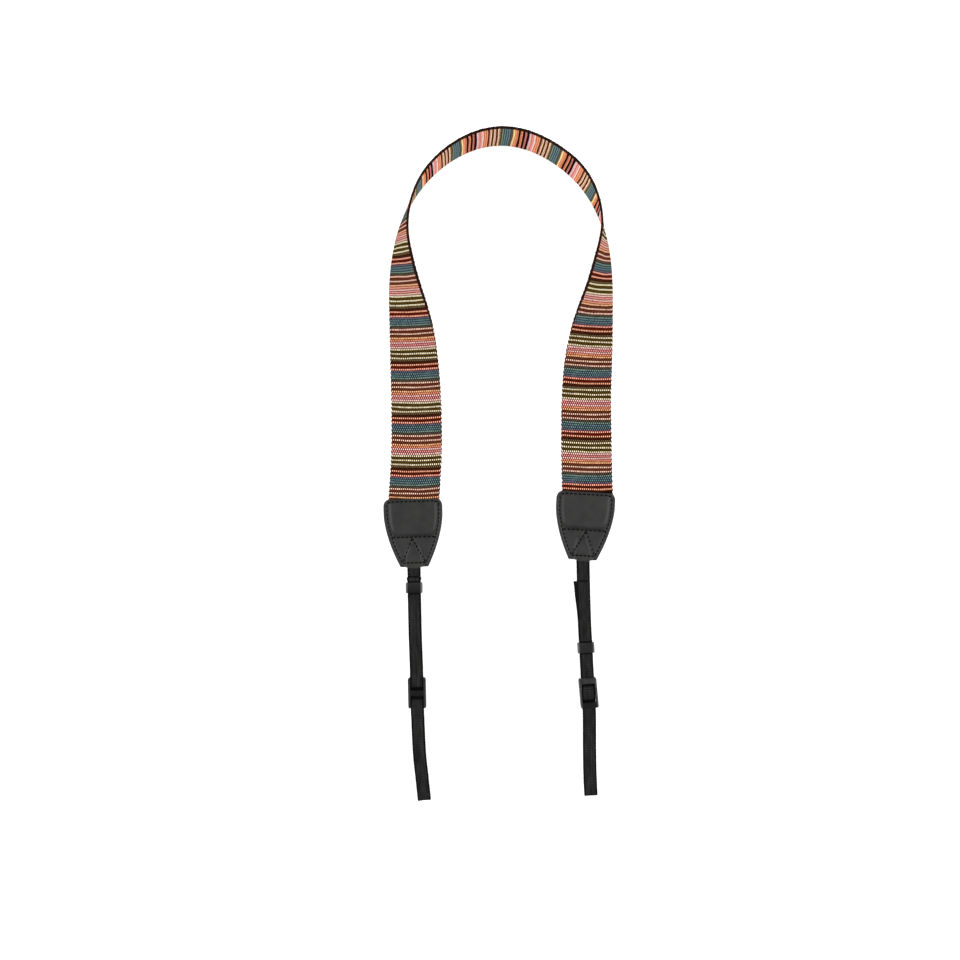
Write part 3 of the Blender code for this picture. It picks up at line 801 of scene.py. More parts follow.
def webbing_stations(side):
    """Stations from the webbing's end in the tab, round the fold, to its free end."""
    main_lift = WEBBING_THICKNESS / 2 + (PLY_STEP if side.main_on_top else 0)
    back_lift = WEBBING_THICKNESS / 2 + (0 if side.main_on_top else PLY_STEP)
    radius = PLY_STEP / 2
    fold_at = side.run - radius - WEBBING_THICKNESS / 2
    path = []
    for distance in even_steps(-WEBBING_IN_TAB, fold_at, WEBBING_STATION_STEP):
        path.append((distance, stack_height(side, distance) + main_lift, 0.0))
    for i in range(1, FOLD_STEPS):
        angle = math.pi * i / FOLD_STEPS
        height = (main_lift + back_lift) / 2 + (main_lift - back_lift) / 2 * math.cos(angle)
        path.append((fold_at + radius * math.sin(angle), height, 0.0))
    for distance in even_steps(fold_at, side.free_end, WEBBING_STATION_STEP):
        strayed = side.flare * smoothstep(1 - (distance - side.free_end) / FLARE_RUN)
        path.append((distance, stack_height(side, distance) + back_lift, strayed))
    spots = []
    for distance, height, strayed in path:
        across = across_of(webbing_heading(side, distance))
        spots.append((webbing_middle(side, distance) + UP * height + across * strayed, across))
    stations, along = [], 0.0
    for i, (middle, across) in enumerate(spots):
        before, after = spots[max(0, i - 1)][0], spots[min(len(spots) - 1, i + 1)][0]
        heading = (after - before).normalized()
        along += (middle - spots[i - 1][0]).length if i else 0.0
        stations.append(Station(middle, across, across.cross(heading).normalized(), heading, along / MM))
    return stations


def shadow_on(side, station):
    """1 where the webbing dives between the adjuster's bars or meets the keeper or its own cut end."""
    spot = station.middle - foot_of(side)
    distance = spot.xy.length if spot.y < 0 else 0.0
    slot = ADJUSTER_MIDDLE_BAR / 2 + 1.2 * MM
    if side.main_on_top:
        slot = ADJUSTER_LENGTH / 2 - ADJUSTER_END_BAR - 0.8 * MM
    shadows = (
        Shadow(abs(distance - side.adjuster_at), slot, 0.95 * MM),
        Shadow(abs(distance - side.keeper_at), KEEPER_LENGTH / 2 + 0.4 * MM, 0.5 * MM),
        Shadow(distance, side.free_end - 0.2 * MM, 0.35 * MM),
    )
    return max(smoothstep(2 - abs(shadow.distance - shadow.at) / shadow.reach) for shadow in shadows)


# %% The webbing's section
SELVEDGE = 1.2 * MM
SELVEDGE_RISE = 0.07 * MM
SELVEDGE_SLOPE = 0.3 * MM
WEBBING_ROUND = 0.45 * MM
LIP_RUN = 3.4 * MM
LIP_SPREAD = {"left": 0.65 * MM, "right": 0.35 * MM}
FOLD_LEAN = {"left": -1.1 * MM, "right": 0.0}
FOLD_LEAN_RUN = 12.0 * MM
CUT_THINNING = 0.25
CUT_RUN = 0.8 * MM


def webbing_section(side, stations, i):
    """Spots round the webbing, wider and thinner at its cut end, and drawn askew at the fold."""
    station = stations[i]
    from_end = (stations[-1].along - station.along) * MM
    to_fold = (station.middle - webbing_middle(side, side.run)).xy.length
    lean = FOLD_LEAN[side.name] * smoothstep(1 - to_fold / FOLD_LEAN_RUN)
    lean *= 1 if station.heading.y < 0 else -1
    half = WEBBING_WIDTH / 2 + LIP_SPREAD[side.name] * max(0.0, 1 - from_end / LIP_RUN)
    thick = WEBBING_THICKNESS / 2 * (1 - CUT_THINNING * smoothstep(1 - from_end / CUT_RUN))
    middle = thick - SELVEDGE_RISE
    over = [
        (half - WEBBING_ROUND * 0.4, thick * 0.8), (half - WEBBING_ROUND, thick), (half - SELVEDGE, thick),
        (half - SELVEDGE - SELVEDGE_SLOPE, middle), (half * 0.5, middle), (half * 0.25, middle),
    ]
    over += [(0.0, middle)] + [(-at, height) for at, height in over[::-1]]
    points = [(half, 0.0)] + over + [(-half, 0.0)] + [(at, -height) for at, height in over[::-1]]
    shade = shadow_on(side, station)
    return [Spot(at, height, shade, lean * at / WEBBING_WIDTH) for at, height in points]


# %% Weaving the webbings
webbings = {}
for side in SIDES:
    path = webbing_stations(side)
    piece = wrap_strap(f"woven_{side.name}_webbing", path, functools.partial(webbing_section, side, path))
    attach(piece, "root")
    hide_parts(f"{side.name}_webbing")
    webbings[side.name] = piece, path[-1].along * MM
    report(piece)
    print("its flat length in mm", round(path[-1].along, 1))


# %% [markdown]
# ## The keepers
# A keeper is a plain moulded loop. A circle is pushed out to the rounded section of the loop, once for the
# outside and once for the hole, the two are bridged, and the ring is drawn out to the loop's length. Its
# sides and the rim at one end get a painted highlight, a paler grey, and the right keeper's front a faint one.
# A float on each corner tells the material where.

# %% Moulding the keepers
KEEPER_ROUND = 0.75 * MM
KEEPER_HOLE_ROUND = 0.3 * MM
KEEPER_RIM_ROUND = 0.22 * MM
KEEPER_SHINE = {"left": 1.5, "right": 0.85}
KEEPER_RIM_SHINE = 0.4
KEEPER_FRONT_SHINE = {"left": 0.0, "right": 0.08}
SHARP = math.radians(60)


def round_off(shape, edges, width, segments):
    """Bevels those of the edges that are sharp."""
    sharp = [edge for edge in edges if edge.calc_face_angle(0) > SHARP]
    bmesh.ops.bevel(
        shape, geom=sharp, affect="EDGES", offset=width, segments=segments, profile=0.5, material=-1
    )


def push_to_loop(corners, width, height, corner_radius):
    """Moves the corners of a circle out to a rounded rectangle in the XZ plane."""
    for corner in corners:
        angle = math.atan2(corner.co.y, corner.co.x)
        x, z = math.cos(angle), math.sin(angle)
        reach = min(width / 2 / max(1e-9, abs(x)), height / 2 / max(1e-9, abs(z)))
        at = Vector((x * reach, 0, z * reach))
        inside_x, inside_z = width / 2 - corner_radius, height / 2 - corner_radius
        if abs(at.x) > inside_x and abs(at.z) > inside_z:
            middle = Vector((math.copysign(inside_x, at.x), 0, math.copysign(inside_z, at.z)))
            at = middle + (at - middle).normalized() * corner_radius
        corner.co = at


def hardware_place(side, distance, height, turned=False):
    heading = webbing_heading(side, distance)
    place = Matrix.Translation(webbing_middle(side, distance) + UP * height)
    place = place @ Matrix.Rotation(math.atan2(heading.x, -heading.y), 4, "Z")
    return place @ Matrix.Rotation(math.pi, 4, "Y") if turned else place


def mould_keeper(side):
    hole = (HARDWARE_INSIDE_WIDTH, STACK + 2 * CLEARANCE)
    outside = tuple(size + 2 * KEEPER_WALL for size in hole)
    shape = bmesh.new()
    for size, radius in ((outside, KEEPER_ROUND), (hole, KEEPER_HOLE_ROUND)):
        ring = bmesh.ops.create_circle(shape, segments=144, radius=1.0)["verts"]
        push_to_loop(ring, *size, radius)
    faces = bmesh.ops.bridge_loops(shape, edges=shape.edges[:])["faces"]
    drawn = bmesh.ops.extrude_face_region(shape, geom=faces)["geom"]
    far = [part for part in drawn if isinstance(part, bmesh.types.BMVert)]
    bmesh.ops.translate(shape, vec=Vector((0, KEEPER_LENGTH, 0)), verts=far)
    bmesh.ops.translate(shape, vec=Vector((0, -KEEPER_LENGTH / 2, outside[1] / 2)), verts=shape.verts)
    round_off(shape, shape.edges, KEEPER_RIM_ROUND, 3)
    bmesh.ops.recalc_face_normals(shape, faces=shape.faces)
    # Painted highlight: the mark makes the sides and one end's rim paler, and the right keeper's front a
    # little.
    mark = shape.verts.layers.float.new("mark")
    for corner in shape.verts:
        on_wall = smoothstep((abs(corner.co.x) - WEBBING_WIDTH / 2) / (0.4 * MM) + 0.5)
        on_rim = KEEPER_RIM_SHINE * smoothstep((corner.co.y - KEEPER_LENGTH / 2) / (0.3 * MM) + 1.0)
        corner[mark] = max(KEEPER_SHINE[side.name] * max(on_wall, on_rim), KEEPER_FRONT_SHINE[side.name])
    return finish_mesh(f"{side.name}_moulded_keeper", shape, hardware_place(side, side.keeper_at, 0))


# %% [markdown]
# ## The slide adjusters
# An adjuster is a ladder: two rails, a low bar at each end and a high bar in the middle, so the webbing has
# to bend over, under and over. Each bar is a box with well rounded edges, and the bars run into the rails.

# %% Moulding the adjusters
RAIL_OUTWARD = 0.3 * MM
RAIL_CORNER = 1.25 * MM
RAIL_ROUND = 0.4 * MM
END_BAR_ROUND = 0.6 * MM
MIDDLE_BAR_ROUND = 0.5 * MM
END_BAR_IN_RAIL = 0.55 * MM
MIDDLE_BAR_IN_RAIL = 0.75 * MM
RAIL_INWARD = {"left": 0.27 * MM, "right": 0.15 * MM}
RAIL_SHINE = {"left": 0.18, "right": 0.45}
END_BAR_SHINE = 0.2
ADJUSTER_TURN = {"left": 0.0, "right": 1.6}


def rounded_bar(shape, size, middle, radius, painted_highlight=0.0, corner_side=0):
    """A box with rounded edges. Its upright edges on one side can have a wider rounding."""
    before = set(shape.verts)

    def new_edges():
        return [edge for edge in shape.edges if edge.verts[0] not in before]

    corners = bmesh.ops.create_cube(shape, size=1.0)["verts"]
    bmesh.ops.scale(shape, vec=size, verts=corners)
    bmesh.ops.translate(shape, vec=middle, verts=corners)
    upright = [edge for edge in new_edges() if abs(edge.verts[0].co.z - edge.verts[1].co.z) > MM]
    outer = [edge for edge in upright if (edge.verts[0].co.x - middle.x) * corner_side > 0]
    if outer:
        round_off(shape, outer, RAIL_CORNER, 4)
    round_off(shape, new_edges(), radius, 4)
    # Painted highlight: the mark makes a bar paler grey; the adjusters' rails and one end bar of the right one
    # get it.
    mark = shape.verts.layers.float["mark"]
    for corner in shape.verts:
        if corner not in before:
            corner[mark] = painted_highlight


def mould_adjuster(side):
    shape = bmesh.new()
    shape.verts.layers.float.new("mark")
    width = HARDWARE_INSIDE_WIDTH + 2 * (ADJUSTER_RAIL + RAIL_OUTWARD)
    rail_width = ADJUSTER_RAIL + RAIL_OUTWARD + RAIL_INWARD[side.name]
    rail = Vector((rail_width, ADJUSTER_LENGTH - 0.2 * MM, ADJUSTER_HEIGHT))
    for sign in (-1, 1):
        at = Vector((sign * (width - rail.x) / 2, 0, ADJUSTER_HEIGHT / 2))
        rounded_bar(shape, rail, at, RAIL_ROUND, RAIL_SHINE[side.name], corner_side=sign)
        end = Vector((0, sign * (ADJUSTER_LENGTH - ADJUSTER_END_BAR) / 2, END_BAR_THICKNESS / 2))
        bar = Vector((width - 2 * END_BAR_IN_RAIL, ADJUSTER_END_BAR, END_BAR_THICKNESS))
        shine = END_BAR_SHINE if side.main_on_top and sign > 0 else 0.0
        rounded_bar(shape, bar, end, END_BAR_ROUND, shine)
    middle = Vector((0, 0, ADJUSTER_HEIGHT - MIDDLE_BAR_THICKNESS / 2))
    bar = Vector((width - 2 * MIDDLE_BAR_IN_RAIL, ADJUSTER_MIDDLE_BAR, MIDDLE_BAR_THICKNESS - 0.05 * MM))
    rounded_bar(shape, bar, middle, MIDDLE_BAR_ROUND)
    height = ADJUSTER_HEIGHT if side.main_on_top else 0
    place = hardware_place(side, side.adjuster_at, height, turned=side.main_on_top)
    turn = Matrix.Rotation(math.radians(ADJUSTER_TURN[side.name] * (-1 if side.main_on_top else 1)), 4, "Z")
    return finish_mesh(f"{side.name}_moulded_adjuster", shape, place @ turn)


# %% Setting the hardware on the webbings
plastic_pieces = []
for side in SIDES:
    for piece, node in ((mould_keeper(side), "keeper"), (mould_adjuster(side), "adjuster")):
        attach(piece, "root")
        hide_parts(f"{side.name}_{node}")
        plastic_pieces.append(piece)
        report(piece)


# %% [markdown]
# ## Building materials
# Materials are built from nodes. `Net` adds a node, feeds its sockets and hands back what it puts out as a
# `Wire`. Sums and products of wires add the nodes for them, so a formula is written almost as it is said.

# %% A short way to write nodes
WHITE = (1.0, 1.0, 1.0, 1.0)


def paint(red, green, blue):
    """A display colour, 0 to 255, as the linear colour that nodes use."""
    parts = [value / 255 for value in (red, green, blue)]
    return (*(part / 12.92 if part <= 0.04045 else ((part + 0.055) / 1.055) ** 2.4 for part in parts), 1.0)


class Wire:
    """What a node puts out. Arithmetic with wires adds the nodes that work it out."""

    def __init__(self, net, socket):
        self.net, self.socket = net, socket

    def __add__(self, other):
        return self.net.math("ADD", self, other)

    def __sub__(self, other):
        return self.net.math("SUBTRACT", self, other)

    def __rsub__(self, other):
        return self.net.math("SUBTRACT", other, self)

    def __mul__(self, other):
        return self.net.math("MULTIPLY", self, other)

    def __truediv__(self, other):
        return self.net.math("DIVIDE", self, other)

    def __abs__(self):
        return self.net.math("ABSOLUTE", self)


class Net:
    """A node tree with short ways to add and join its nodes."""

    def __init__(self, tree):
        self.tree = tree

    def feed(self, socket, value):
        if isinstance(value, Wire):
            self.tree.links.new(value.socket, socket)
        else:
            socket.default_value = value

    def add(self, kind, settings=None, by_number=(), **inputs):
        """Adds a node, feeds its sockets by number or name, and gives its outputs by number and name."""
        made = self.tree.nodes.new(kind)
        for key, value in (settings or {}).items():
            setattr(made, key, value)
        for number, value in by_number:
            self.feed(made.inputs[number], value)
        for key, value in inputs.items():
            self.feed(made.inputs[key.replace("_", " ")], value)
        return {key: Wire(self, output) for i, output in enumerate(made.outputs) for key in (i, output.name)}

    def math(self, operation, *values):
        return self.add("ShaderNodeMath", {"operation": operation}, enumerate(values))[0]

    def mix(self, factor, first, second, blend="MIX"):
        settings = {"data_type": "RGBA", "blend_type": blend}
        return self.add("ShaderNodeMix", settings, ((0, factor), (6, first), (7, second)))[2]

    def blend(self, factor, first, second):
        settings = {"data_type": "FLOAT"}
        return self.add("ShaderNodeMix", settings, ((0, factor), (2, first), (3, second)))[0]

    def noise(self, vector, scale, detail=2.0, roughness=0.5):
        made = self.add("ShaderNodeTexNoise", Vector=vector, Scale=scale, Detail=detail, Roughness=roughness)
        return made["Fac"]

    def spread(self, value, low, high, to_low=0.0, to_high=1.0, smooth=False):
        settings = {"interpolation_type": "SMOOTHSTEP" if smooth else "LINEAR"}
        return self.add("ShaderNodeMapRange", settings, enumerate((value, low, high, to_low, to_high)))[0]

    def vector(self, x, y, z=0.0):
        return self.add("ShaderNodeCombineXYZ", X=x, Y=y, Z=z)[0]

    def shaded(self, colour, shade):
        """A colour times a shade."""
        return self.mix(1.0, colour, self.vector(shade, shade, shade), "MULTIPLY")

    def mark(self):
        """The float that the mesh keeps at each corner."""
        return self.add("ShaderNodeAttribute", {"attribute_name": "mark"})["Fac"]

    def place(self):
        """The place on a strap: across it in millimetres, and along it."""
        weave = self.add("ShaderNodeUVMap", {"uv_map": "weave"})[0]
        parts = self.add("ShaderNodeSeparateXYZ", Vector=weave)
        return parts[0], parts[1]

    def group(self, tree, **inputs):
        return self.add("ShaderNodeGroup", {"node_tree": tree}, **inputs)


def make_group(name, inputs, outputs, rule):
    """A shader node group. `rule` takes its net and its inputs, and says what each of its outputs gives."""
    tree = bpy.data.node_groups.new(name, "ShaderNodeTree")
    for way, sockets in (("INPUT", inputs), ("OUTPUT", outputs)):
        for label, kind in sockets.items():
            tree.interface.new_socket(label, in_out=way, socket_type=f"NodeSocket{kind}")
    net = Net(tree)
    given = net.add("NodeGroupInput")
    results = rule(net, *(given[label] for label in inputs))
    net.add("NodeGroupOutput", by_number=enumerate(results))
    return tree


def new_material(name, roughness, specular):
    material = bpy.data.materials.new(name)
    material.use_nodes = True
    shader = material.node_tree.nodes["Principled BSDF"]
    shader.inputs["Roughness"].default_value = roughness
    shader.inputs["Specular IOR Level"].default_value = specular
    return material, Net(material.node_tree), shader


def add_bump(net, shader, strength, depth, height):
    bump = net.add("ShaderNodeBump", Strength=strength, Distance=depth, Height=height)
    net.feed(shader.inputs["Normal"], bump[0])


# %% [markdown]
# ## Two effects that several materials share
# `worn_surface` breaks up an even surface: broad patches change its shade a little, and a fine grain gives
# it height. `thread_rows` is what woven cloth has in common: ribs one way, threads the other.

# %% Shared node groups
STAGGER = 0.5


def worn(net, where, patch_scale, grain_scale):
    patches = net.noise(where, patch_scale, 3.0)
    cells = net.add("ShaderNodeTexVoronoi", {"feature": "F1"}, Vector=where, Scale=grain_scale)
    return net.spread(patches, 0.3, 0.7), cells["Distance"] * 0.6 + net.noise(where, grain_scale, 4.0)


def woven_in_rows(net, rows, threads):
    rib = net.math("SINE", net.math("FRACT", rows) * math.pi)
    shifted = threads + net.math("FLOOR", rows) * STAGGER
    thread = net.math("SINE", net.math("FRACT", shifted) * math.pi)
    return rib, thread, rib * net.spread(thread, 0.0, 1.0, 0.5, 1.0)


worn_surface = make_group(
    "worn_surface", {"Vector": "Vector", "Patch Scale": "Float", "Grain Scale": "Float"},
    {"Patches": "Float", "Grain": "Float"}, worn,
)
thread_rows = make_group(
    "thread_rows", {"Rows": "Float", "Threads": "Float"},
    {"Rib": "Float", "Thread": "Float", "Lift": "Float"}, woven_in_rows,
)

# %% [markdown]
# ## The stripes
# The band is woven with two stripe orders, one for each face. A chart lists the rows of one repeat: the yarn
# and how many rows it fills. Each yarn has a ground colour, seen between the threads, and the lighter colour
# of its floats, the short lengths of weft that lie on top.

# %% The yarns, as (ground, float) display colours
YARNS = {
    "teal": ((38, 54, 66), (110, 136, 140)),
    "grey_green": ((60, 80, 72), (136, 154, 134)),
    "grey_brown": ((50, 42, 36), (92, 82, 70)),
    "purple": ((60, 50, 66), (112, 100, 118)),
    "salmon": ((136, 54, 36), (255, 216, 190)),
    "red_brown": ((72, 26, 14), (118, 58, 40)),
    "brown": ((60, 26, 14), (116, 62, 40)),
    "gold": ((180, 76, 40), (255, 200, 148)),
    "orange": ((164, 56, 28), (248, 164, 124)),
    "pink": ((182, 76, 78), (255, 214, 206)),
    "rose": ((142, 38, 50), (244, 158, 150)),
    "cream": ((104, 80, 34), (255, 240, 204)),
    "olive": ((50, 34, 6), (94, 72, 22)),
    "olive_brown": ((62, 44, 22), (114, 90, 62)),
    "black_red": ((38, 12, 4), (80, 36, 20)),
    "apricot": ((150, 54, 30), (255, 188, 154)),
    "dark_red": ((58, 10, 2), (104, 30, 10)),
    "coral": ((150, 56, 40), (255, 180, 156)),
    "dark_olive": ((66, 64, 42), (88, 86, 60)),
    "straw": ((226, 186, 118), (255, 226, 168)),
    "amber": ((216, 122, 84), (246, 160, 122)),
    "melon": ((222, 120, 82), (248, 170, 130)),
    "black": ((34, 8, 6), (56, 20, 14)),
    "white_pink": ((248, 204, 204), (255, 236, 236)),
    "blush": ((216, 122, 118), (246, 164, 156)),
    "sand": ((236, 182, 146), (255, 224, 192)),
    "olive_grey": ((80, 72, 48), (102, 94, 66)),
}

# %% The rows of one repeat on each face
FACE_CHART = (
    ("salmon", 1), ("red_brown", 1), ("salmon", 1), ("brown", 1), ("gold", 1), ("orange", 1), ("pink", 1),
    ("rose", 1), ("pink", 1), ("cream", 1), ("olive", 1), ("cream", 1), ("olive", 1), ("cream", 1),
    ("olive_brown", 1), ("black_red", 1), ("apricot", 1), ("dark_red", 1), ("coral", 1), ("purple", 0.65),
    ("teal", 2.7), ("grey_green", 0.55), ("grey_brown", 1.1),
)
BACK_CHART = (
    ("purple", 0.3), ("dark_olive", 0.6), ("straw", 1.1), ("amber", 1.4), ("black", 1.15),
    ("melon", 0.9), ("black", 1.2), ("blush", 0.6), ("black", 1.35), ("white_pink", 0.6),
    ("blush", 1.6), ("white_pink", 0.7), ("melon", 2.1), ("brown", 1.05), ("sand", 0.85),
    ("brown", 1), ("sand", 0.8), ("red_brown", 1.05), ("sand", 0.85), ("olive_grey", 1.1),
    ("grey_green", 0.4), ("teal", 3.3),
)
FACE_TEAL_MIDDLE = 21.0 / ROWS_IN_REPEAT
BACK_TEAL_MIDDLE = 22.4 / ROWS_IN_REPEAT
BACK_STRIPES_SHIFT = 0.6
LIGHT_LEVEL = 1.7

for label, chart in (("face", FACE_CHART), ("back", BACK_CHART)):
    print(label, "chart rows", round(sum(rows for _, rows in chart), 2))


def dyed(red, green, blue):
    """A display colour, darkened by what the lights on the band will add to it."""
    return (*(part / LIGHT_LEVEL for part in paint(red, green, blue)[:3]), 1.0)


def read_chart(chart, net, share):
    """The ground and float colours at a share of the repeat."""
    found = []
    for which in (0, 1):
        ramp = net.tree.nodes.new("ShaderNodeValToRGB")
        ramp.color_ramp.interpolation = "CONSTANT"
        stops = ramp.color_ramp.elements
        at = 0.0
        for i, (yarn, rows) in enumerate(chart):
            stop = stops[i] if i < 2 else stops.new(at)
            stop.position = at
            stop.color = dyed(*YARNS[yarn][which])
            at += rows / ROWS_IN_REPEAT
        net.feed(ramp.inputs[0], share)
        found.append(Wire(net, ramp.outputs[0]))
    return found


face_chart, back_chart = (
    make_group(
        f"stripes_of_the_{label}", {"Share": "Float"}, {"Ground": "Color", "Floats": "Color"},
        functools.partial(read_chart, chart),
    )
    for label, chart in (("face", FACE_CHART), ("back", BACK_CHART))
)

# %% [markdown]
# ## The band's material
# The UV map gives the place across the band in millimetres and the repeats woven so far. The charts turn the
# second into colours. Across, the floats follow each other at an even pitch, in some places so close that
# they join, and round the bend they all do. There the reddish yarns have also faded. A fine speckle keeps
# the broad stripes alive. Both edges are bound in dark cord, which shows most on the edge that stands up, and
# the rows next to each tab lie in its shade.

# %% The band's material
WHOLE_REPEATS = 20
CROWN_SHARE = 7.5
BEND_ENDS = (3.5, 4.9)
WEFT_BOW = 0.012
FADED = 0.45
FLOAT_PITCH = 1.5
FLOAT_DRIFT = 0.15
FLOAT_WOBBLE = 0.3
CUT_JOINED = -0.2
CUT_APART = 0.68
JOINED_IN_BEND = 0.35
# Painted light: the back face's colours are lifted to stand in for light on the arch's upright inner face.
BACK_PAINTED_LIGHT = 1.62
MOUTH_SHADOW_ROWS = (1.0, 1.45)
MOUTH_SHADOW = 0.15
REPEAT_AT_MOUTH = 39.3
CORD_EDGE = (0.85, 1.2)
CORD_REACH = 1.3


def shade_at_mouths(net, across, woven):
    """The shade that each tab throws on the rows at its mouth, which are pulled askew."""
    from_middle = across / (BAND_WIDTH / MM) - 0.5
    sagging = 1.0 - from_middle * from_middle * 4.0
    shades = []
    for mouth, inward, pull in ((in_sight[0], 1, WEFT_PULL[0]), (in_sight[-1], -1, WEFT_PULL[-1])):
        pulled = from_middle * (pull.lean / REPEAT_AT_MOUTH) + sagging * (pull.sag / REPEAT_AT_MOUTH)
        near, far = (mouth + inward * count / ROWS_IN_REPEAT for count in MOUTH_SHADOW_ROWS)
        shades.append(net.spread(woven + pulled, near, far, MOUTH_SHADOW, 1.0))
    return shades[0] * shades[1]


def make_band_material():
    material, net, shader = new_material("striped_weave", 0.9, 0.0)
    across, woven = net.place()
    on_back = net.math("GREATER_THAN", net.mark(), 0.5)
    bent = net.spread(abs(woven - CROWN_SHARE), *BEND_ENDS, 1.0, 0.0, smooth=True)

    bow = net.noise(net.vector(across * 0.06, woven * 6.0), 1.0)
    woven = woven + (bow - 0.5) * WEFT_BOW
    face_share = net.math("FRACT", FACE_TEAL_MIDDLE + WHOLE_REPEATS - woven)
    back_share = net.math("FRACT", woven + (BACK_TEAL_MIDDLE - BACK_STRIPES_SHIFT + WHOLE_REPEATS))
    face, back = net.group(face_chart, Share=face_share), net.group(back_chart, Share=back_share)
    ground = net.mix(on_back, face["Ground"], back["Ground"])
    tones = net.add("ShaderNodeSeparateColor", Color=face["Floats"])
    reddish = net.spread(tones[0], 0.3, 0.45) * net.spread(tones[1], 0.4, 0.48, 1.0, 0.0)
    worn_face = net.mix(reddish * bent * FADED, face["Floats"], dyed(255, 188, 168))
    floats = net.mix(on_back, worn_face, back["Floats"])

    rows = net.blend(on_back, face_share, back_share) * ROWS_IN_REPEAT
    wobble = net.noise(net.vector(across, rows * 0.7), 0.9, 1.0)
    threads = across / FLOAT_PITCH + wobble * FLOAT_WOBBLE + woven * FLOAT_DRIFT
    cloth = net.group(thread_rows, Rows=rows, Threads=threads)
    rib, thread = cloth["Rib"], cloth["Thread"]
    along_row = net.vector(across * 0.22, net.math("FLOOR", rows) * 3.7)
    joined = net.noise(along_row, 1.0, 1.0) + bent * JOINED_IN_BEND
    cut = net.spread(joined, 0.55, 0.8, CUT_APART, CUT_JOINED)
    lift = net.spread(thread, cut, cut + 0.2, smooth=True) * net.spread(rib, 0.25, 0.7, smooth=True)
    floats = net.shaded(floats, net.spread(cut, CUT_JOINED, CUT_APART, 0.8, 1.6))
    colour = net.mix(lift, ground, floats)

    speckle = net.noise(net.vector(across * 1.6, rows * 2.2), 1.0, 3.0, 0.7)
    # Painted shade: the colour is darker in the groove between two rows.
    groove = net.spread(rib, 0.0, 0.7, 0.5, 1.0)
    # Painted shade: the ground between the floats is darkened, most where the floats lie apart.
    gap = net.spread(thread, 0.3, 0.75, net.spread(cut, CUT_JOINED, CUT_APART, 1.0, 0.2), 1.0)
    # Painted light: on the back face the colours are lifted.
    shade = net.spread(speckle, 0.3, 0.7, 0.74, 1.24) * groove * gap * net.blend(on_back, 1.0, BACK_PAINTED_LIGHT)
    colour = net.shaded(colour, shade * shade_at_mouths(net, across, woven))

    from_inner = BAND_WIDTH / MM - across - bent * CORD_REACH
    ragged = net.math("MINIMUM", across, from_inner) + (speckle - 0.5) * 1.5 + rib * 0.3
    turn = net.math("SINE", net.math("FRACT", rows * 0.5) * math.pi) * net.spread(bent, 0.0, 1.0, 0.5, 0.0)
    cord = net.spread(ragged + turn, *CORD_EDGE, 1.0, 0.0)
    # Painted shade: the cord is darker in the grooves between rows.
    cord_colour = net.shaded(paint(46, 28, 22), net.spread(rib, 0.2, 1.0, 0.3, 0.8))
    net.feed(shader.inputs["Base Color"], net.mix(cord, colour, cord_colour))
    add_bump(net, shader, 0.7, 0.25 * MM, lift * 0.7 + rib * 0.3 + speckle * 0.35)
    return material


neck_band.data.materials.append(make_band_material())
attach(neck_band, "root")
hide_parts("neck_band")
band_long = band_length(LEFT) + band_length(RIGHT) + 2 * BAND_IN_TAB
print("the band's flat size in mm", BAND_WIDTH / MM, round(band_long / MM, 1))

# %% [markdown]
# ## Leather, thread, webbing and plastic
# All four are black, so what tells them apart is how they shine. Leather is satin with a fine grain, thread
# and webbing are dull, and moulded plastic is smoother, with light that runs along its rounded edges, helped
# by a painted highlight: a paler grey on the keepers' sides and the adjusters' rails.

# %% Leather, thread and plastic
Finish = namedtuple("Finish", "name roughness rougher specular patches grain bump depth")
LEATHER = Finish("black_leather", 0.42, 0.54, 0.33, 120.0, 1700.0, 0.3, 0.08 * MM)
THREAD = Finish("black_thread", 0.75, 0.75, 0.03, 400.0, 4000.0, 0.5, 0.05 * MM)
PLASTIC = Finish("black_plastic", 0.32, 0.45, 0.1, 260.0, 3500.0, 0.15, 0.04 * MM)


def dress(pieces, finish, black, paler, paler_where):
    """Gives the pieces a black that goes paler in the worn patches, or where the mesh's mark paints a
    highlight.
    """
    material, net, shader = new_material(finish.name, finish.roughness, finish.specular)
    where = net.add("ShaderNodeTexCoord")["Object"]
    worn = net.group(worn_surface, Vector=where, Patch_Scale=finish.patches, Grain_Scale=finish.grain)
    net.feed(shader.inputs["Base Color"], net.mix(paler_where(net, worn["Patches"]), black, paler))
    if finish.rougher > finish.roughness:
        rough = net.spread(worn["Patches"], 0.0, 1.0, finish.roughness, finish.rougher)
        net.feed(shader.inputs["Roughness"], rough)
    add_bump(net, shader, finish.bump, finish.depth, worn["Grain"])
    for piece in pieces:
        piece.data.materials.append(material)


def in_patches(net, patches):
    return patches


# Painted highlight where the mesh's mark says, broken up by the patches.
def where_highlight_is_painted(net, patches):
    return net.mark() * net.spread(patches, 0.0, 1.0, 0.6, 1.2)


dress(leather_pieces, LEATHER, (0.006, 0.0055, 0.0053, 1), (0.0125, 0.0117, 0.0112, 1), in_patches)
dress(stitch_pieces, THREAD, (0.0015, 0.0014, 0.0013, 1), (0.004, 0.0038, 0.0036, 1), in_patches)
# The plastic's paler grey is a painted highlight.
dress(plastic_pieces, PLASTIC, (0.004, 0.004, 0.0042, 1), (0.1, 0.1, 0.102, 1), where_highlight_is_painted)

# %% Webbing
WEBBING_ROW = 0.7
WEBBING_THREAD = 0.55
WEBBING_BAR_PITCH = 1.2
SELVEDGE_BEGINS = (3.55, 3.85)


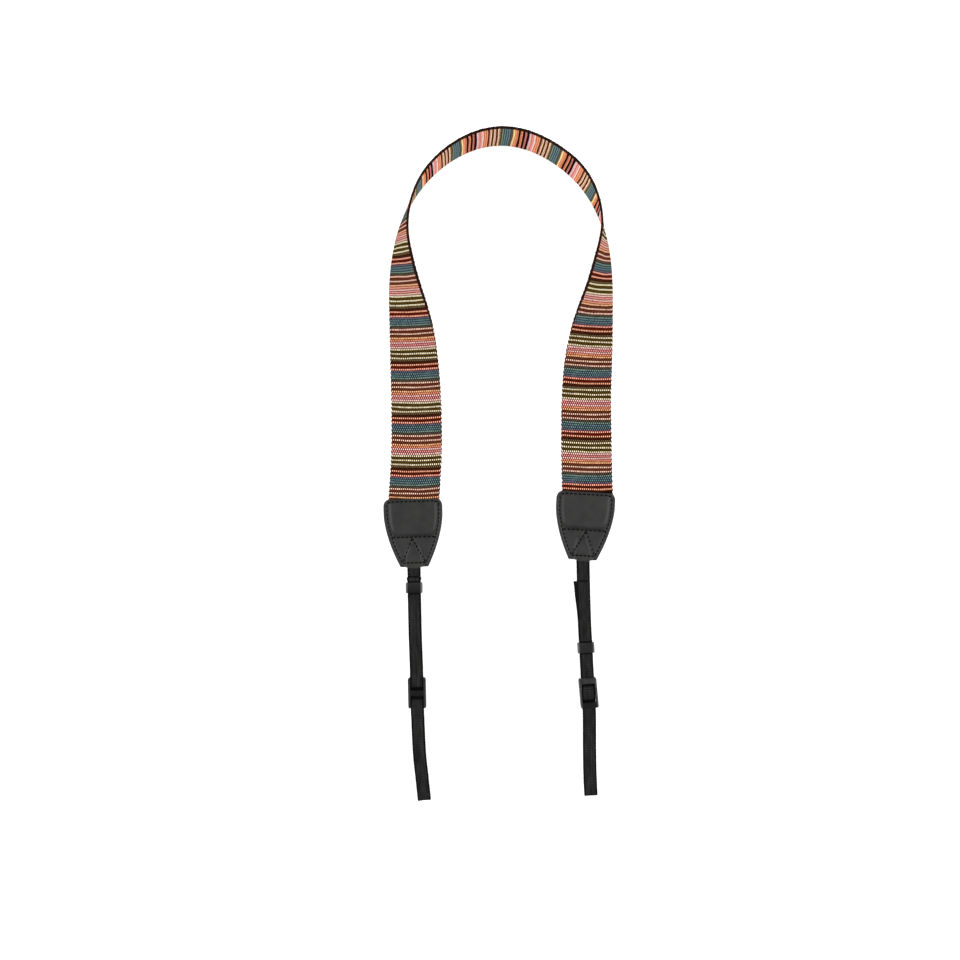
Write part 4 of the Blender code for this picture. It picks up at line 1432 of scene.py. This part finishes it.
def make_webbing():
    material, net, shader = new_material("black_webbing", 0.8, 0.06)
    across, along = net.place()
    lift = net.group(thread_rows, Rows=along / WEBBING_ROW, Threads=across / WEBBING_THREAD)["Lift"]
    selvedge = net.spread(abs(across), *SELVEDGE_BEGINS, smooth=True)
    streaks = net.noise(net.vector(across * 1.1, along * 0.02), 1.0)
    patches = net.noise(net.vector(across * 0.3, along * 0.09), 1.0)
    bar_phase = net.math("SINE", along * (2 * math.pi / WEBBING_BAR_PITCH))
    shade = bar_phase * net.spread(patches, 0.46, 0.6, 0.0, 0.85, smooth=True) + 1.0
    shade = shade * net.spread(patches, 0.3, 0.7, 0.6, 1.6) * net.spread(streaks, 0.3, 0.7, 0.5, 1.5)
    # Painted shade and highlight: the weave is darker where its threads lie low and lighter where they rise.
    shade = shade * net.spread(lift, 0.0, 1.0, 0.5, 1.3) * net.spread(selvedge, 0.0, 1.0, 1.0, 0.2)
    # Painted shadow: the mark darkens the webbing in the adjuster's slots, beside the keeper's ends and at its
    # cut end.
    shade = shade * net.spread(net.mark(), 0.0, 1.0, 1.0, 0.05)
    net.feed(shader.inputs["Base Color"], net.shaded((0.0115, 0.011, 0.0108, 1), shade))
    net.feed(shader.inputs["Roughness"], net.spread(selvedge, 0.0, 1.0, 0.72, 0.85))
    add_bump(net, shader, 0.6, 0.15 * MM, lift)
    return material


webbing_black = make_webbing()
for side in SIDES:
    piece, length = webbings[side.name]
    piece.data.materials.append(webbing_black)


# %% [markdown]
# ## The floor
# The strap lies on a white sheet that runs out of sight on all sides. Under this much light it goes fully
# white, as the photograph's background does.

# %% The floor
FLOOR_BELOW = 0.05 * MM
shape = bmesh.new()
bmesh.ops.create_grid(shape, x_segments=1, y_segments=1, size=4.0)
bmesh.ops.translate(shape, vec=UP * -FLOOR_BELOW, verts=shape.verts)
data = bpy.data.meshes.new("white_floor")
shape.to_mesh(data)
shape.free()
floor = bpy.data.objects.new("white_floor", data)
bpy.context.scene.collection.objects.link(floor)
floor_white, net, shader = new_material("white_paper", 0.9, 0.0)
patches = net.noise(net.add("ShaderNodeTexCoord")["Object"], 3.0)
net.feed(shader.inputs["Base Color"], net.mix(patches, (0.93, 0.93, 0.93, 1), (0.95, 0.95, 0.95, 1)))
shader.inputs["Emission Color"].default_value = WHITE
shader.inputs["Emission Strength"].default_value = 0.4
floor.data.materials.append(floor_white)

# %% [markdown]
# ## Light and camera
# Two broad lights stand left and right, high enough to leave hardly a shadow. They run along the padded
# leather and the rounded plastic as soft highlights. The camera looks straight down from 77 cm, so near that
# the inner face of the standing arch shows.

# %% Light
LIGHT_DISTANCE = 1.5
LIGHT_SIZE = 1.05
LIGHT_POWER = 14.6
LIGHT_SLOPE = math.radians(45)
WORLD_STRENGTH = 0.75

scene = bpy.context.scene
scene.world = bpy.data.worlds.new("studio")
scene.world.use_nodes = True
background = scene.world.node_tree.nodes["Background"]
background.inputs["Color"].default_value = WHITE
background.inputs["Strength"].default_value = WORLD_STRENGTH
for name, sign in (("light_left", -1), ("light_right", 1)):
    light = bpy.data.lights.new(name, "AREA")
    light.shape = "SQUARE"
    light.size = LIGHT_SIZE
    light.energy = LIGHT_POWER
    lamp = bpy.data.objects.new(name, light)
    lamp.location = Vector((sign * math.sin(LIGHT_SLOPE), 0.0, math.cos(LIGHT_SLOPE))) * LIGHT_DISTANCE
    lamp.rotation_euler = (0.0, sign * LIGHT_SLOPE, 0.0)
    scene.collection.objects.link(lamp)


# %% Camera
CAMERA_AT = Vector((-14.31, -6.20, 770.0)) * MM
PHOTO_WIDTH = 960
PIXEL = 0.742 * MM
camera_data = bpy.data.cameras.new("camera")
camera_data.sensor_width = 36.0
camera_data.sensor_fit = "HORIZONTAL"
camera_data.lens = camera_data.sensor_width * CAMERA_AT.z / (PHOTO_WIDTH * PIXEL)
camera_data.clip_start = 0.01
camera = bpy.data.objects.new("camera", camera_data)
camera.location = CAMERA_AT
scene.collection.objects.link(camera)
scene.camera = camera
scene.view_settings.view_transform = "Standard"
scene.view_settings.look = "None"
print("lens in mm", round(camera_data.lens, 2))
